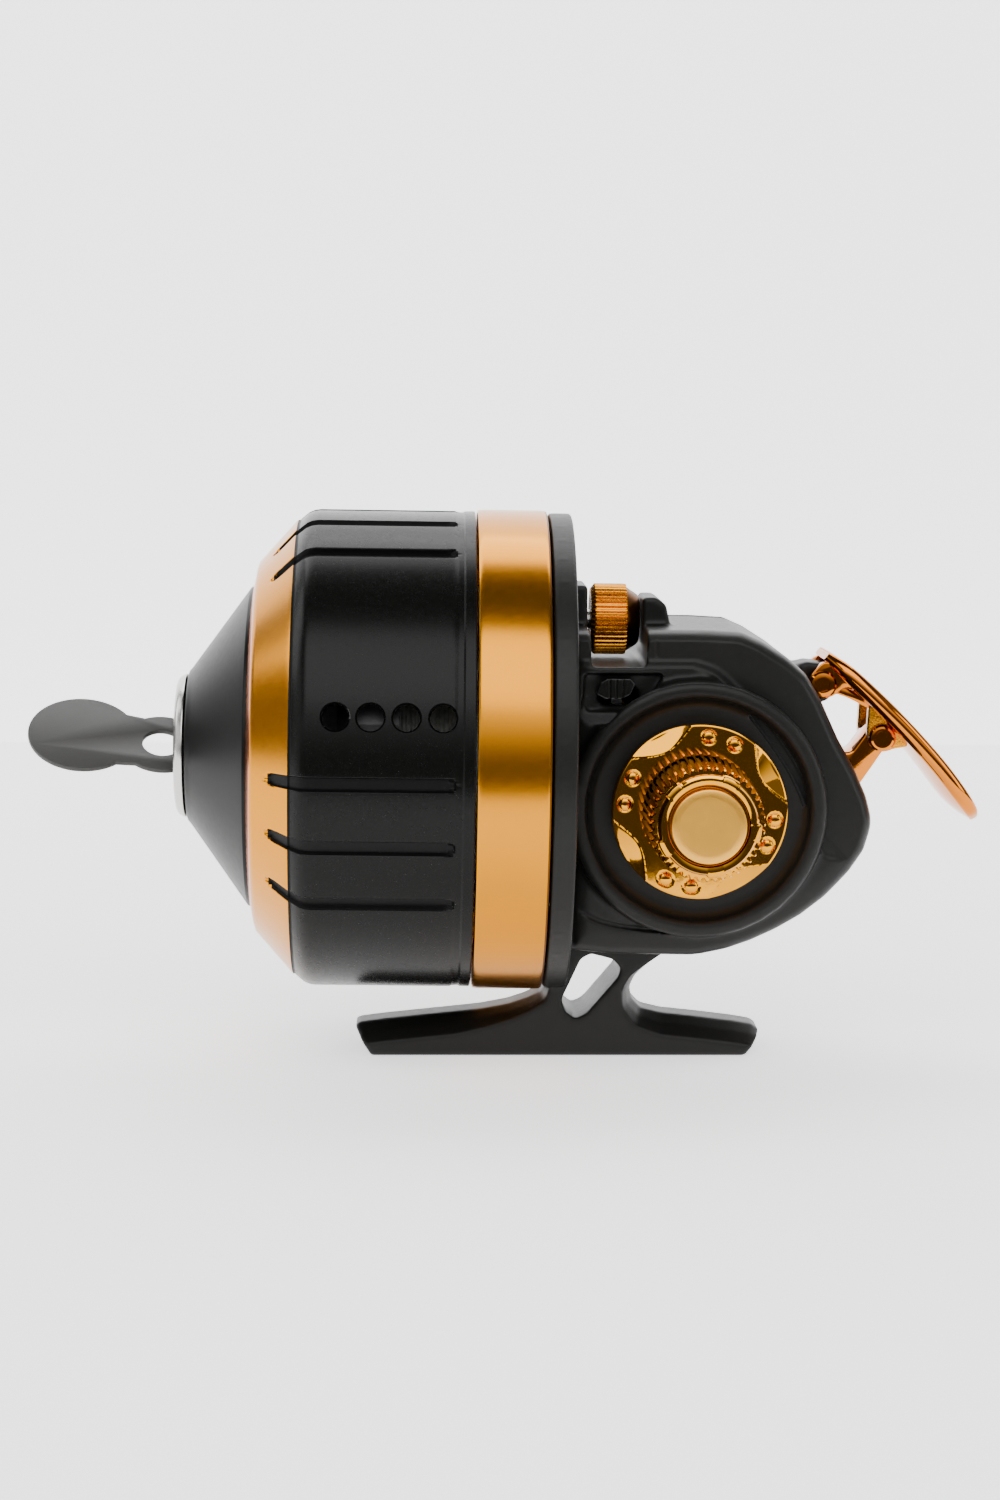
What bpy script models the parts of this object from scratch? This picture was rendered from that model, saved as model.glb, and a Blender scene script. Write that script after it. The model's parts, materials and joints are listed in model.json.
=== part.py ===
"""Spincast fishing reel, as an assembly of separate pieces.

Frame: millimetres below, turned into metres when a mesh is made. +Z is up, the
origin is the centre of the foot's flat underside, the nose points to -X, the
crank handle is on the +Y side and the thumb lever is at +X.
The reel axis leans a little nose-up over the foot, so every piece that is
turned about it is made along X under the empty "reel_axis".
"""
import bpy
import bmesh
import math
import numpy as np
from mathutils import Vector

MM = 0.001

# ------------------------------------------------------------------ dimensions
GAP = 0.3                      # running gap kept between neighbouring pieces
TILT = math.radians(0.55)      # nose-up lean of the reel axis over the foot
AXIS_Z = 47.25                 # height of the reel axis above the foot face

COVER_R = 37.0                 # outer radius of the front cover
COVER_WALL = 1.6
CHAMFER_FRONT = (-45.9, 29.4)  # start of the gold chamfer (u, r)
CHAMFER_BACK = (-40.3, 35.5)   # end of the gold chamfer
COVER_BACK = -13.3
BAND_R = 37.25                 # gold band at the back of the cover
BAND_FRONT, BAND_BACK = -13.0, -2.3
NOSE_R = 11.5                  # cone radius behind the line guide
NOSE_U = -57.3
CONE_BACK = (-47.9, 24.6)
GUIDE_BORE = 8.4               # bore of the line guide ring

GROOVE_W = 1.9                 # grip grooves in the cover
GROOVE_DEPTH = 0.8
GROOVE_FROM, GROOVE_TO = -43.6, -16.2
GROOVE_CENTRES = (16.5, 106.5, 196.5, 286.5)   # degrees down from the near side
GROOVE_STEP = 15.0
HOLE_R = 1.95                  # drain holes in the cover
HOLE_U = (-33.7, -28.6, -23.4, -18.1)
HOLE_ANGLES = (-13.7, 166.3)

FLANGE_R = 36.9                # plate that carries the cover
FLANGE_FRONT, FLANGE_BACK = -2.0, 1.5
HUB_R = 9.0                    # hub the spool turns on
HUB_FRONT = -28.6
SHAFT_R = 1.7

SPOOL_R = 30.0
ARBOR_R = 15.5
SPOOL_FRONT, SPOOL_BACK = -26.8, -6.2
WIND_R = 25.5

BODY_Y0, BODY_Y1 = -17.5, 14.0  # gear housing across the reel
CAVITY_Y0 = -15.3
COVER_Y0, COVER_Y1 = 14.3, 17.6  # side cover

CRANK = (20.5, 40.6)           # crank axis (x, z)
CRANK_R = 3.0
ARM_LEN = 42.0
GEAR_TEETH = 36
PINION_TEETH = 10
MODULE = 0.72
PINION_U0, PINION_U1 = 4.6, 10.6
GEAR_R0, GEAR_R1 = 11.4, 17.1  # inner and outer radius of the face teeth
RATCHET_R = 9.0
RATCHET_TEETH = 12

LEVER = (40.6, 58.3)           # thumb lever pivot (x, z)
RIVET = (50.0, 50.0)
DRAG_X0, DRAG_X1 = 4.7, 12.3   # thumb wheel of the drag
DRAG_Z = 67.9
DRAG_R = 5.5
PAWL = (8.5, 50.5)             # pawl pivot (x, z)

FOOT_HALF = 7.2                # half width of the foot
TAB_R = 8.4                    # disc of the line tab
TAB_RING_R, TAB_HOLE_R = 6.4, 3.0
TAB_SPAN = 12.4
TAB_T = 0.8

N_BIG, N_MED, N_SMALL = 44, 20, 14

# outline of the gear housing (x, z)
BODY_OUTLINE = [(1.0, 67.2), (16.3, 67.3), (21.7, 67.3), (27.1, 67.0), (30.3, 65.6),
                (34.1, 63.2), (37.0, 60.7), (39.2, 57.0), (42.0, 50.9), (44.7, 46.1),
                (46.5, 42.1), (47.3, 39.0), (47.3, 37.3), (46.3, 33.8), (44.0, 30.4),
                (40.4, 26.6), (36.7, 23.7), (32.9, 21.5), (29.2, 19.8), (25.5, 18.5),
                (21.7, 17.7), (19.9, 17.5), (8.0, 17.7), (1.0, 18.4)]
CAVITY_OUTLINE = [(2.3, 20.6), (20.0, 20.0), (25.0, 20.9), (29.0, 22.3), (32.5, 24.0),
                  (36.0, 26.2), (39.4, 29.0), (42.3, 32.0), (44.2, 35.3), (44.8, 38.0),
                  (44.2, 41.0), (42.2, 45.2), (39.0, 50.6), (36.0, 55.0), (33.4, 58.6),
                  (30.5, 61.6), (27.0, 63.8), (24.0, 64.6), (17.2, 64.8), (17.2, 59.7),
                  (2.3, 59.7)]
# outline of the stem and foot (x, z)
FOOT_OUTLINE = [(-28.9, 0.0), (29.5, 0.0), (32.1, 3.3), (31.0, 4.2), (28.1, 4.7),
                (22.4, 5.4), (16.7, 6.0), (13.4, 6.8), (11.9, 8.4), (11.6, 10.2),
                (12.4, 12.0), (14.3, 13.9), (16.1, 15.6), (18.0, 17.1), (20.5, 18.6),
                (20.5, 19.6), (1.0, 19.6), (-0.6, 15.0), (-1.5, 11.0), (-2.4, 9.3),
                (-4.7, 8.3), (-7.5, 7.4), (-11.8, 6.6), (-19.4, 5.8), (-27.0, 5.0),
                (-30.7, 4.5), (-31.5, 4.0)]
STEM_HOLE = [(3.7, 15.4), (5.2, 16.2), (8.7, 15.3), (9.9, 14.0), (9.5, 12.5),
             (4.6, 6.7), (2.9, 5.9), (1.2, 7.2), (0.7, 8.9)]
SCREWS = [(33.0, 59.3), (40.3, 33.2), (8.2, 22.8), (6.2, 57.1)]
POST_Y0 = [-15.8, -15.8, -15.8, -5.0]    # the last post stops short of the pawl

# ------------------------------------------------------------------- materials
def srgb(r, g, b):
    out = []
    for c in (r, g, b):
        c /= 255.0
        out.append(c / 12.92 if c <= 0.04045 else ((c + 0.055) / 1.055) ** 2.4)
    return out


def material(name, rgb, rough, metal):
    mat = bpy.data.materials.new(name)
    mat.use_nodes = True
    node = mat.node_tree.nodes["Principled BSDF"]
    node.inputs["Base Color"].default_value = srgb(*rgb) + [1.0]
    node.inputs["Roughness"].default_value = rough
    node.inputs["Metallic"].default_value = metal
    mat.diffuse_color = srgb(*rgb) + [1.0]
    return mat


# ------------------------------------------------------------- mesh functions
def clear_scene():
    for ob in list(bpy.data.objects):
        bpy.data.objects.remove(ob, do_unlink=True)


def add_mesh(name, verts, faces, mat=None, origin=(0, 0, 0), parent=None, sharp=32):
    """verts are millimetres in the parent's frame; origin becomes the object's location."""
    me = bpy.data.meshes.new(name)
    o = Vector(origin)
    me.from_pydata([(Vector(v) - o) * MM for v in verts], [], faces)
    bm = bmesh.new()
    bm.from_mesh(me)
    bmesh.ops.recalc_face_normals(bm, faces=bm.faces)
    bm.to_mesh(me)
    bm.free()
    me.shade_smooth()
    me.set_sharp_from_angle(angle=math.radians(sharp))
    ob = bpy.data.objects.new(name, me)
    bpy.context.scene.collection.objects.link(ob)
    if parent is not None:
        ob.parent = parent
    ob.location = o * MM
    if mat is not None:
        me.materials.append(mat)
    return ob


def empty(name, loc, rot=(0, 0, 0), parent=None):
    ob = bpy.data.objects.new(name, None)
    bpy.context.scene.collection.objects.link(ob)
    ob.location = Vector(loc) * MM
    ob.rotation_euler = rot
    ob.empty_display_size = 0.01
    if parent is not None:
        ob.parent = parent
    return ob


def turned(profile, n, axis="X", centre=(0, 0, 0), teeth=0, phase=0.0):
    """Turn a closed profile of (along, radius[, knurl depth]) points about an axis."""
    verts, rings, faces = [], [], []
    cx, cy, cz = centre
    for p in profile:
        a, r = p[0], p[1]
        depth = p[2] if len(p) > 2 else 0.0
        idx = []
        count = 1 if r < 1e-6 else n
        for k in range(count):
            t = 2 * math.pi * k / n + phase
            rr = r
            if depth and teeth:
                f = (k * teeth / n) % 1.0
                rr = r - depth * (1.0 if 0.25 <= f < 0.75 else 0.0)
            c, s = rr * math.cos(t), rr * math.sin(t)
            if axis == "X":
                v = (cx + a, cy + c, cz + s)
            elif axis == "Y":
                v = (cx + c, cy + a, cz + s)
            else:
                v = (cx + c, cy + s, cz + a)
            idx.append(len(verts))
            verts.append(v)
        rings.append(idx)
    m = len(rings)
    for i in range(m):
        a, b = rings[i], rings[(i + 1) % m]
        if len(a) == 1 and len(b) == 1:
            continue
        for k in range(n):
            k2 = (k + 1) % n
            if len(a) == 1:
                faces.append((a[0], b[k], b[k2]))
            elif len(b) == 1:
                faces.append((a[k], b[0], a[k2]))
            else:
                faces.append((a[k], b[k], b[k2], a[k2]))
    return verts, faces


def tube(a0, a1, r0, r1, edge=0.0):
    """Profile of a ring from a0 to a1, inner radius r0 and outer radius r1."""
    if r0 <= 0:
        if edge:
            return [(a0, 0), (a0, r1 - edge), (a0 + edge, r1), (a1 - edge, r1), (a1, r1 - edge), (a1, 0)]
        return [(a0, 0), (a0, r1), (a1, r1), (a1, 0)]
    if edge:
        return [(a0, r0), (a0, r1 - edge), (a0 + edge, r1), (a1 - edge, r1), (a1, r1 - edge), (a1, r0)]
    return [(a0, r0), (a0, r1), (a1, r1), (a1, r0)]


def prism(outline, a0, a1, axis="Y"):
    """Extrude an outline; axis Y takes (x, z), axis X takes (y, z), axis Z takes (x, y)."""
    n = len(outline)
    verts = []
    for a in (a0, a1):
        for p, q in outline:
            if axis == "Y":
                verts.append((p, a, q))
            elif axis == "X":
                verts.append((a, p, q))
            else:
                verts.append((p, q, a))
    faces = [tuple(range(n)), tuple(range(2 * n - 1, n - 1, -1))]
    for i in range(n):
        j = (i + 1) % n
        faces.append((i, j, n + j, n + i))
    return verts, faces


def layered(outlines, levels, axis="Y"):
    """Loft through outlines of equal length at given levels, with flat ends."""
    n = len(outlines[0])
    verts, faces = [], []
    for outline, a in zip(outlines, levels):
        for p, q in outline:
            verts.append((p, a, q) if axis == "Y" else ((a, p, q) if axis == "X" else (p, q, a)))
    k = len(levels)
    faces.append(tuple(range(n)))
    faces.append(tuple(range(k * n - 1, (k - 1) * n - 1, -1)))
    for L in range(k - 1):
        for i in range(n):
            j = (i + 1) % n
            faces.append((L * n + i, L * n + j, (L + 1) * n + j, (L + 1) * n + i))
    return verts, faces


def box(x0, x1, y0, y1, z0, z1):
    return prism([(x0, z0), (x1, z0), (x1, z1), (x0, z1)], y0, y1)


def inset(outline, d):
    """Move each side of a closed outline inwards by d."""
    pts = [Vector(p) for p in outline]
    n = len(pts)
    area = sum(pts[i].x * pts[(i + 1) % n].y - pts[(i + 1) % n].x * pts[i].y for i in range(n))
    sgn = 1.0 if area > 0 else -1.0
    out = []
    for i in range(n):
        a, b, c = pts[i - 1], pts[i], pts[(i + 1) % n]
        e1, e2 = (b - a).normalized(), (c - b).normalized()
        n1, n2 = Vector((-e1.y, e1.x)) * sgn, Vector((-e2.y, e2.x)) * sgn
        m = (n1 + n2)
        m = m / max(m.dot(n1), 0.35) if m.length > 1e-6 else n1
        out.append(tuple(b + m * d))
    return out


def rounded_plate(outline, y0, y1, r, both=False, steps=3):
    """Extrude an outline with a rounded rim at y0 (and at y1 when both)."""
    sgn = 1.0 if y1 > y0 else -1.0
    outs, levels = [], []
    for k in range(steps + 1):
        t = math.pi / 2 * k / steps
        outs.append(inset(outline, r * (1 - math.sin(t))))
        levels.append(y0 + sgn * r * (1 - math.cos(t)))
    if both:
        for k in range(steps + 1):
            t = math.pi / 2 * (1 - k / steps)
            outs.append(inset(outline, r * (1 - math.sin(t))))
            levels.append(y1 - sgn * r * (1 - math.cos(t)))
    else:
        outs.append(list(outline))
        levels.append(y1)
    return layered(outs, levels)


def tool(name, geo, parent=None, origin=(0, 0, 0)):
    """A hidden solid that only cuts or adds."""
    ob = add_mesh(name, geo[0], geo[1], None, origin, parent)
    ob.hide_render = True
    ob.display_type = "WIRE"
    return ob


def boolean(ob, other, operation):
    mod = ob.modifiers.new(other.name, "BOOLEAN")
    mod.operation = operation
    mod.solver = "EXACT"
    mod.object = other


def cut(ob, name, geo, parent=None):
    boolean(ob, tool(name, geo, parent), "DIFFERENCE")


def join(ob, name, geo, parent=None):
    boolean(ob, tool(name, geo, parent), "UNION")


def circle(cx, cz, r, n, a0=0.0, a1=2 * math.pi, closed=True):
    k = n if closed else n - 1
    return [(cx + r * math.cos(a0 + (a1 - a0) * i / k), cz + r * math.sin(a0 + (a1 - a0) * i / k))
            for i in range(n)]


# ---------------------------------------------------------------------- pieces
def cover_profile():
    """Closed profile of the front cover: chamfer, barrel and inner wall."""
    w = COVER_WALL
    outer = [(-47.2, 25.2), (-46.6, 28.2), CHAMFER_FRONT, CHAMFER_BACK, (-38.9, 36.6),
             (-37.2, COVER_R), (COVER_BACK, COVER_R)]
    inner = [(COVER_BACK, COVER_R - w), (-38.2, COVER_R - w),
             (-40.9, 33.6), (-45.4, 28.6), (-45.6, 25.2)]
    return outer + inner


def chamfer_radius(u):
    (u0, r0), (u1, r1) = CHAMFER_FRONT, CHAMFER_BACK
    return r0 + (r1 - r0) * (u - u0) / (u1 - u0)


def groove_cutter(angle):
    """A bar that follows the cover's outside at the groove depth."""
    d = GROOVE_DEPTH
    side = [(GROOVE_FROM, chamfer_radius(GROOVE_FROM) - d), (CHAMFER_BACK[0], CHAMFER_BACK[1] - d),
            (-38.9, 36.6 - d), (-37.2, COVER_R - d), (GROOVE_TO, COVER_R - d),
            (GROOVE_TO, COVER_R + 2), (GROOVE_FROM, COVER_R + 2)]
    a = math.radians(angle)
    # radial direction, measured down from the near side (-Y)
    ry, rz = -math.cos(a), -math.sin(a)
    ty, tz = -rz, ry
    verts = []
    for s in (-GROOVE_W / 2, GROOVE_W / 2):
        for u, r in side:
            verts.append((u, r * ry + s * ty, r * rz + s * tz))
    n = len(side)
    faces = [tuple(range(n)), tuple(range(2 * n - 1, n - 1, -1))]
    for i in range(n):
        j = (i + 1) % n
        faces.append((i, j, n + j, n + i))
    return verts, faces


def radial_pin(u, angle, r0, r1, rad, n=12):
    a = math.radians(angle)
    ry, rz = -math.cos(a), -math.sin(a)
    ty, tz = -rz, ry
    verts = []
    for r in (r0, r1):
        for k in range(n):
            t = 2 * math.pi * k / n
            c, s = rad * math.cos(t), rad * math.sin(t)
            verts.append((u + c, r * ry + s * ty, r * rz + s * tz))
    faces = [tuple(range(n)), tuple(range(2 * n - 1, n - 1, -1))]
    for i in range(n):
        j = (i + 1) % n
        faces.append((i, j, n + j, n + i))
    return verts, faces


def pinion_radius(theta):
    """Radius of the pinion's outline: straight-flanked teeth with rounded tips."""
    tip = MODULE * (PINION_TEETH / 2 + 1)
    root = MODULE * (PINION_TEETH / 2 - 1.25)
    f = abs(((theta * PINION_TEETH / (2 * math.pi)) + 0.5) % 1.0 - 0.5) * 2   # 0 tip, 1 root
    if f < 0.22:
        return tip
    if f > 0.66:
        return root
    return tip + (root - tip) * (f - 0.22) / 0.44


def pinion_geo():
    n = PINION_TEETH * 6
    prof = [(-1.2, 2.1, 0), (-1.2, 2.7, 0), (PINION_U0 - 0.3, 2.7, 0), (PINION_U0, None, 0),
            (PINION_U1, None, 0), (PINION_U1, 2.1, 0)]
    verts, faces = [], []
    rings = []
    for u, r, _ in prof:
        idx = []
        for k in range(n):
            t = 2 * math.pi * k / n
            rr = pinion_radius(t) if r is None else r
            idx.append(len(verts))
            verts.append((u, rr * math.cos(t), rr * math.sin(t)))
        rings.append(idx)
    m = len(rings)
    for i in range(m):
        a, b = rings[i], rings[(i + 1) % m]
        for k in range(n):
            k2 = (k + 1) % n
            faces.append((a[k], b[k], b[k2], a[k2]))
    return verts, faces


def face_gear_geo():
    """Crown gear about the crank axis. Each tooth space is swept out by the pinion
    as the two turn together, so the teeth mesh with an even gap. The points of each
    tooth follow its edges, which lean because the two axes pass at a distance."""
    ratio_steps = 60                         # trial points along one tooth
    radii = np.linspace(GEAR_R0, GEAR_R1, 6)
    pitch = 2 * math.pi / GEAR_TEETH
    phi = np.arange(ratio_steps) * pitch / ratio_steps
    base_angle = math.pi - 0.46
    tip_y = MODULE * (PINION_TEETH / 2 - 1) + 0.12
    clearance = 0.2
    th = np.linspace(0, 2 * math.pi, 2880, endpoint=False)
    pr = np.array([pinion_radius(t) for t in th])
    zgrid = np.linspace(-4.4, 4.4, 177)

    def envelope(beta):
        """The pinion's +Y side against height above its axis."""
        y = pr * np.cos(th + beta)
        z = pr * np.sin(th + beta)
        e = np.full(zgrid.shape, -10.0)
        ii = np.clip(np.round((z + 4.4) / 0.05).astype(int), 0, 176)
        np.maximum.at(e, ii, y)
        return e

    n_phase = 60
    env = [envelope(2 * math.pi / PINION_TEETH * k / n_phase) for k in range(n_phase)]
    R, P = np.meshgrid(radii, phi, indexing="ij")
    H = np.full(R.shape, tip_y)
    for tooth in range(-7, 8):
        for k in range(n_phase):
            alpha = (tooth + k / n_phase) * pitch      # gear angle about +Y
            ang = P + base_angle
            x = R * np.cos(ang)
            z = R * np.sin(ang)
            xr = x * math.cos(alpha) + z * math.sin(alpha)
            zr = -x * math.sin(alpha) + z * math.cos(alpha)
            X = CRANK[0] + xr
            Z = CRANK[1] + zr
            dz = Z - (AXIS_Z - math.tan(TILT) * X)
            inside = (X > PINION_U0 - 0.5) & (X < PINION_U1 + 0.5) & (np.abs(dz) < 4.4)
            e = np.interp(dz, zgrid, env[k])
            H = np.where(inside, np.maximum(H, e + clearance), H)
    base = MODULE * (PINION_TEETH / 2 + 1) + clearance
    H = np.minimum(H, base)
    back, hub_y = 7.4, 5.2

    # six points to a tooth: land start and end, flank, valley start and end, flank
    offsets, heights, centres = [], [], []
    last = None
    for i in range(len(radii)):
        h = H[i]
        low = h <= h.min() + 0.03
        c = int(np.argmin(h))
        lo = hi = c
        while low[(lo - 1) % ratio_steps] and c - lo < 20:
            lo -= 1
        while low[(hi + 1) % ratio_steps] and hi - c < 20:
            hi += 1
        if hi == lo:
            lo, hi = lo - 1, hi + 1
        top = h >= h.max() - 0.05
        s = hi
        while not top[s % ratio_steps]:
            s += 1
        e = lo + ratio_steps
        while not top[e % ratio_steps]:
            e -= 1
        pts = [lo, hi, (hi + s) / 2, s, e, (e + lo + ratio_steps) / 2]
        centre = (lo + hi) / 2 / ratio_steps
        if last is not None:
            shift = round(last - centre)
            shift = min((shift - 1, shift, shift + 1), key=lambda q: abs(centre + q - last))
            centre += shift
            pts = [p + shift * ratio_steps for p in pts]
        last = centre
        grow = (0.04, 0.04, 0.06, 0.0, 0.0, 0.06)
        offsets.append([p / ratio_steps * pitch for p in pts])
        heights.append([min(base, float(np.interp(p % ratio_steps, np.arange(ratio_steps + 1), np.append(h, h[0]))) + g)
                        for p, g in zip(pts, grow)])
        centres.append(centre * pitch)

    verts, rings, faces = [], [], []

    def ring(r, y, turn):
        """A plain ring with one point to a tooth."""
        idx = []
        for k in range(GEAR_TEETH):
            t = base_angle + k * pitch + turn
            idx.append(len(verts))
            verts.append((CRANK[0] + r * math.cos(t), y, CRANK[1] + r * math.sin(t)))
        rings.append(idx)

    ring(CRANK_R + GAP, hub_y, centres[0])
    ring(GEAR_R0 - 0.4, hub_y, centres[0])
    for i, r in enumerate(radii):
        idx = []
        for k in range(GEAR_TEETH):
            for o, y in zip(offsets[i], heights[i]):
                t = base_angle + k * pitch + o
                idx.append(len(verts))
                verts.append((CRANK[0] + r * math.cos(t), y, CRANK[1] + r * math.sin(t)))
        rings.append(idx)
    ring(GEAR_R1, back, centres[-1])
    ring(CRANK_R + GAP, back, centres[0])
    m = len(rings)
    for i in range(m):
        a, b = rings[i], rings[(i + 1) % m]
        if len(a) == len(b):
            c = len(a)
            for k in range(c):
                k2 = (k + 1) % c
                faces.append((a[k], b[k], b[k2], a[k2]))
            continue
        few, many = (a, b) if len(a) < len(b) else (b, a)
        c, q = len(few), len(many) // len(few)
        for k in range(c):
            k2 = (k + 1) % c
            run = [many[(k * q + j) % len(many)] for j in range(q + 1)]
            for j in range(q):
                faces.append((few[k] if j < q // 2 else few[k2], run[j], run[j + 1]))
            faces.append((few[k], run[q // 2], few[k2]))
    return verts, faces


def coil(u0, u1, turns, mean, wire, per_turn=9, sides=4):
    n = int(turns * per_turn) + 1
    verts, faces = [], []
    for i in range(n):
        f = i / (n - 1)
        t = 2 * math.pi * turns * f
        # closed end turns, open middle
        g = f + 0.012 * math.sin(2 * math.pi * f)
        u = u0 + wire + (u1 - u0 - 2 * wire) * g
        for k in range(sides):
            p = 2 * math.pi * k / sides
            r = mean + wire * math.cos(p)
            verts.append((u + wire * math.sin(p), r * math.cos(t), r * math.sin(t)))
    for i in range(n - 1):
        for k in range(sides):
            k2 = (k + 1) % sides
            faces.append((i * sides + k, i * sides + k2, (i + 1) * sides + k2, (i + 1) * sides + k))
    faces.append(tuple(range(sides)))
    faces.append(tuple(range(n * sides - 1, (n - 1) * sides - 1, -1)))
    return verts, faces


def blade_geo():
    """Thumb blade: a curved shield, narrow at its ends."""
    mid = [(41.3, 62.6), (44.2, 60.3), (49.0, 55.9), (53.8, 51.1), (58.5, 45.9), (62.0, 41.5),
           (64.2, 38.6), (65.0, 37.2)]
    half = [5.6, 8.3, 9.6, 10.0, 9.8, 9.0, 6.8, 4.2]
    thick = [1.3, 2.3, 2.5, 2.5, 2.5, 2.4, 2.0, 1.3]
    verts, faces = [], []
    n = len(mid)
    sec = 10
    for i in range(n):
        a = Vector(mid[max(i - 1, 0)])
        b = Vector(mid[min(i + 1, n - 1)])
        t = (b - a).normalized()
        nx, nz = -t.y, t.x          # towards the thumb
        if nx < 0:
            nx, nz = -nx, -nz
        for k in range(sec):
            p = 2 * math.pi * (k + 0.5) / sec
            y = half[i] * max(-1, min(1, 1.12 * math.cos(p)))
            h = thick[i] / 2 * max(-1, min(1, 1.7 * math.sin(p)))
            verts.append((mid[i][0] + nx * h, y, mid[i][1] + nz * h))
    for i in range(n - 1):
        for k in range(sec):
            k2 = (k + 1) % sec
            faces.append((i * sec + k, i * sec + k2, (i + 1) * sec + k2, (i + 1) * sec + k))
    faces.append(tuple(range(sec)))
    faces.append(tuple(range(n * sec - 1, (n - 1) * sec - 1, -1)))
    return verts, faces


def arm_geo():
    """Crank arm: a flat bar with a step outwards, running towards the nose."""
    cx, cz = CRANK
    xs = [cx + 6.5, cx + 4.6, cx, cx - 6.0, cx - 15.0, cx - 26.0, cx - ARM_LEN, cx - ARM_LEN - 4.0, cx - ARM_LEN - 5.6]
    yc = [37.6, 37.6, 37.6, 37.6, 41.9, 41.9, 41.9, 41.9, 41.9]
    hw = [2.6, 5.2, 6.5, 6.2, 5.0, 4.6, 5.2, 4.2, 2.0]
    verts, faces = [], []
    for x, y, w in zip(xs, yc, hw):
        for dy, dz in ((-1.3, -w + 0.5), (-0.8, -w), (0.8, -w), (1.3, -w + 0.5),
                       (1.3, w - 0.5), (0.8, w), (-0.8, w), (-1.3, w - 0.5)):
            verts.append((x, y + dy, cz + dz))
    n = 8
    for i in range(len(xs) - 1):
        for k in range(n):
            k2 = (k + 1) % n
            faces.append((i * n + k, i * n + k2, (i + 1) * n + k2, (i + 1) * n + k))
    faces.append(tuple(range(n)))
    faces.append(tuple(range(len(xs) * n - 1, (len(xs) - 1) * n - 1, -1)))
    return verts, faces


def ratchet_outline():
    pts = []
    cx, cz = CRANK
    for k in range(RATCHET_TEETH):
        a = 2 * math.pi * k / RATCHET_TEETH
        pts.append((cx + RATCHET_R * math.cos(a), cz + RATCHET_R * math.sin(a)))
        b = a + 2 * math.pi / RATCHET_TEETH * 0.12
        pts.append((cx + 7.3 * math.cos(b), cz + 7.3 * math.sin(b)))
    return pts


def ring_prism(outer, inner_r, n, y0, y1):
    """A plate with a toothed rim and a round bore about the crank axis; the rim has
    a whole multiple of the bore's points."""
    cx, cz = CRANK
    verts = []
    m = len(outer)
    for y in (y0, y1):
        for p, q in outer:
            verts.append((p, y, q))
        for p, q in outer:
            a = math.atan2(q - cz, p - cx)
            verts.append((cx + inner_r * math.cos(a), y, cz + inner_r * math.sin(a)))
    faces = []
    for i in range(m):
        j = (i + 1) % m
        faces.append((i, j, m + j, m + i))
        faces.append((2 * m + i, 3 * m + i, 3 * m + j, 2 * m + j))
        faces.append((i, 2 * m + i, 2 * m + j, j))
        faces.append((m + i, m + j, 3 * m + j, 3 * m + i))
    return verts, faces


def tab_geo():
    """Line tab: a disc and a smaller eyed ring, one flat leaf. Made flat in XY about
    the ring's centre, with the disc towards -X."""
    outer = []
    d = TAB_SPAN
    # where the neck arcs leave the two circles
    a1, a2 = math.radians(38), math.radians(130)
    for i in range(24):                       # disc, from the lower to the upper neck
        t = -a1 - (2 * math.pi - 2 * a1) * i / 23
        outer.append((-d + TAB_R * math.cos(t), TAB_R * math.sin(t)))
    for i in range(18):                       # ring
        t = a2 - 2 * a2 * i / 17
        outer.append((TAB_RING_R * math.cos(t), TAB_RING_R * math.sin(t)))
    m = len(outer)
    verts = []
    for z in (-TAB_T / 2, TAB_T / 2):
        for p, q in outer:
            verts.append((p, q, z))
    faces = [tuple(range(m)), tuple(range(2 * m - 1, m - 1, -1))]
    for i in range(m):
        j = (i + 1) % m
        faces.append((i, j, m + j, m + i))
    return verts, faces


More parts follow.
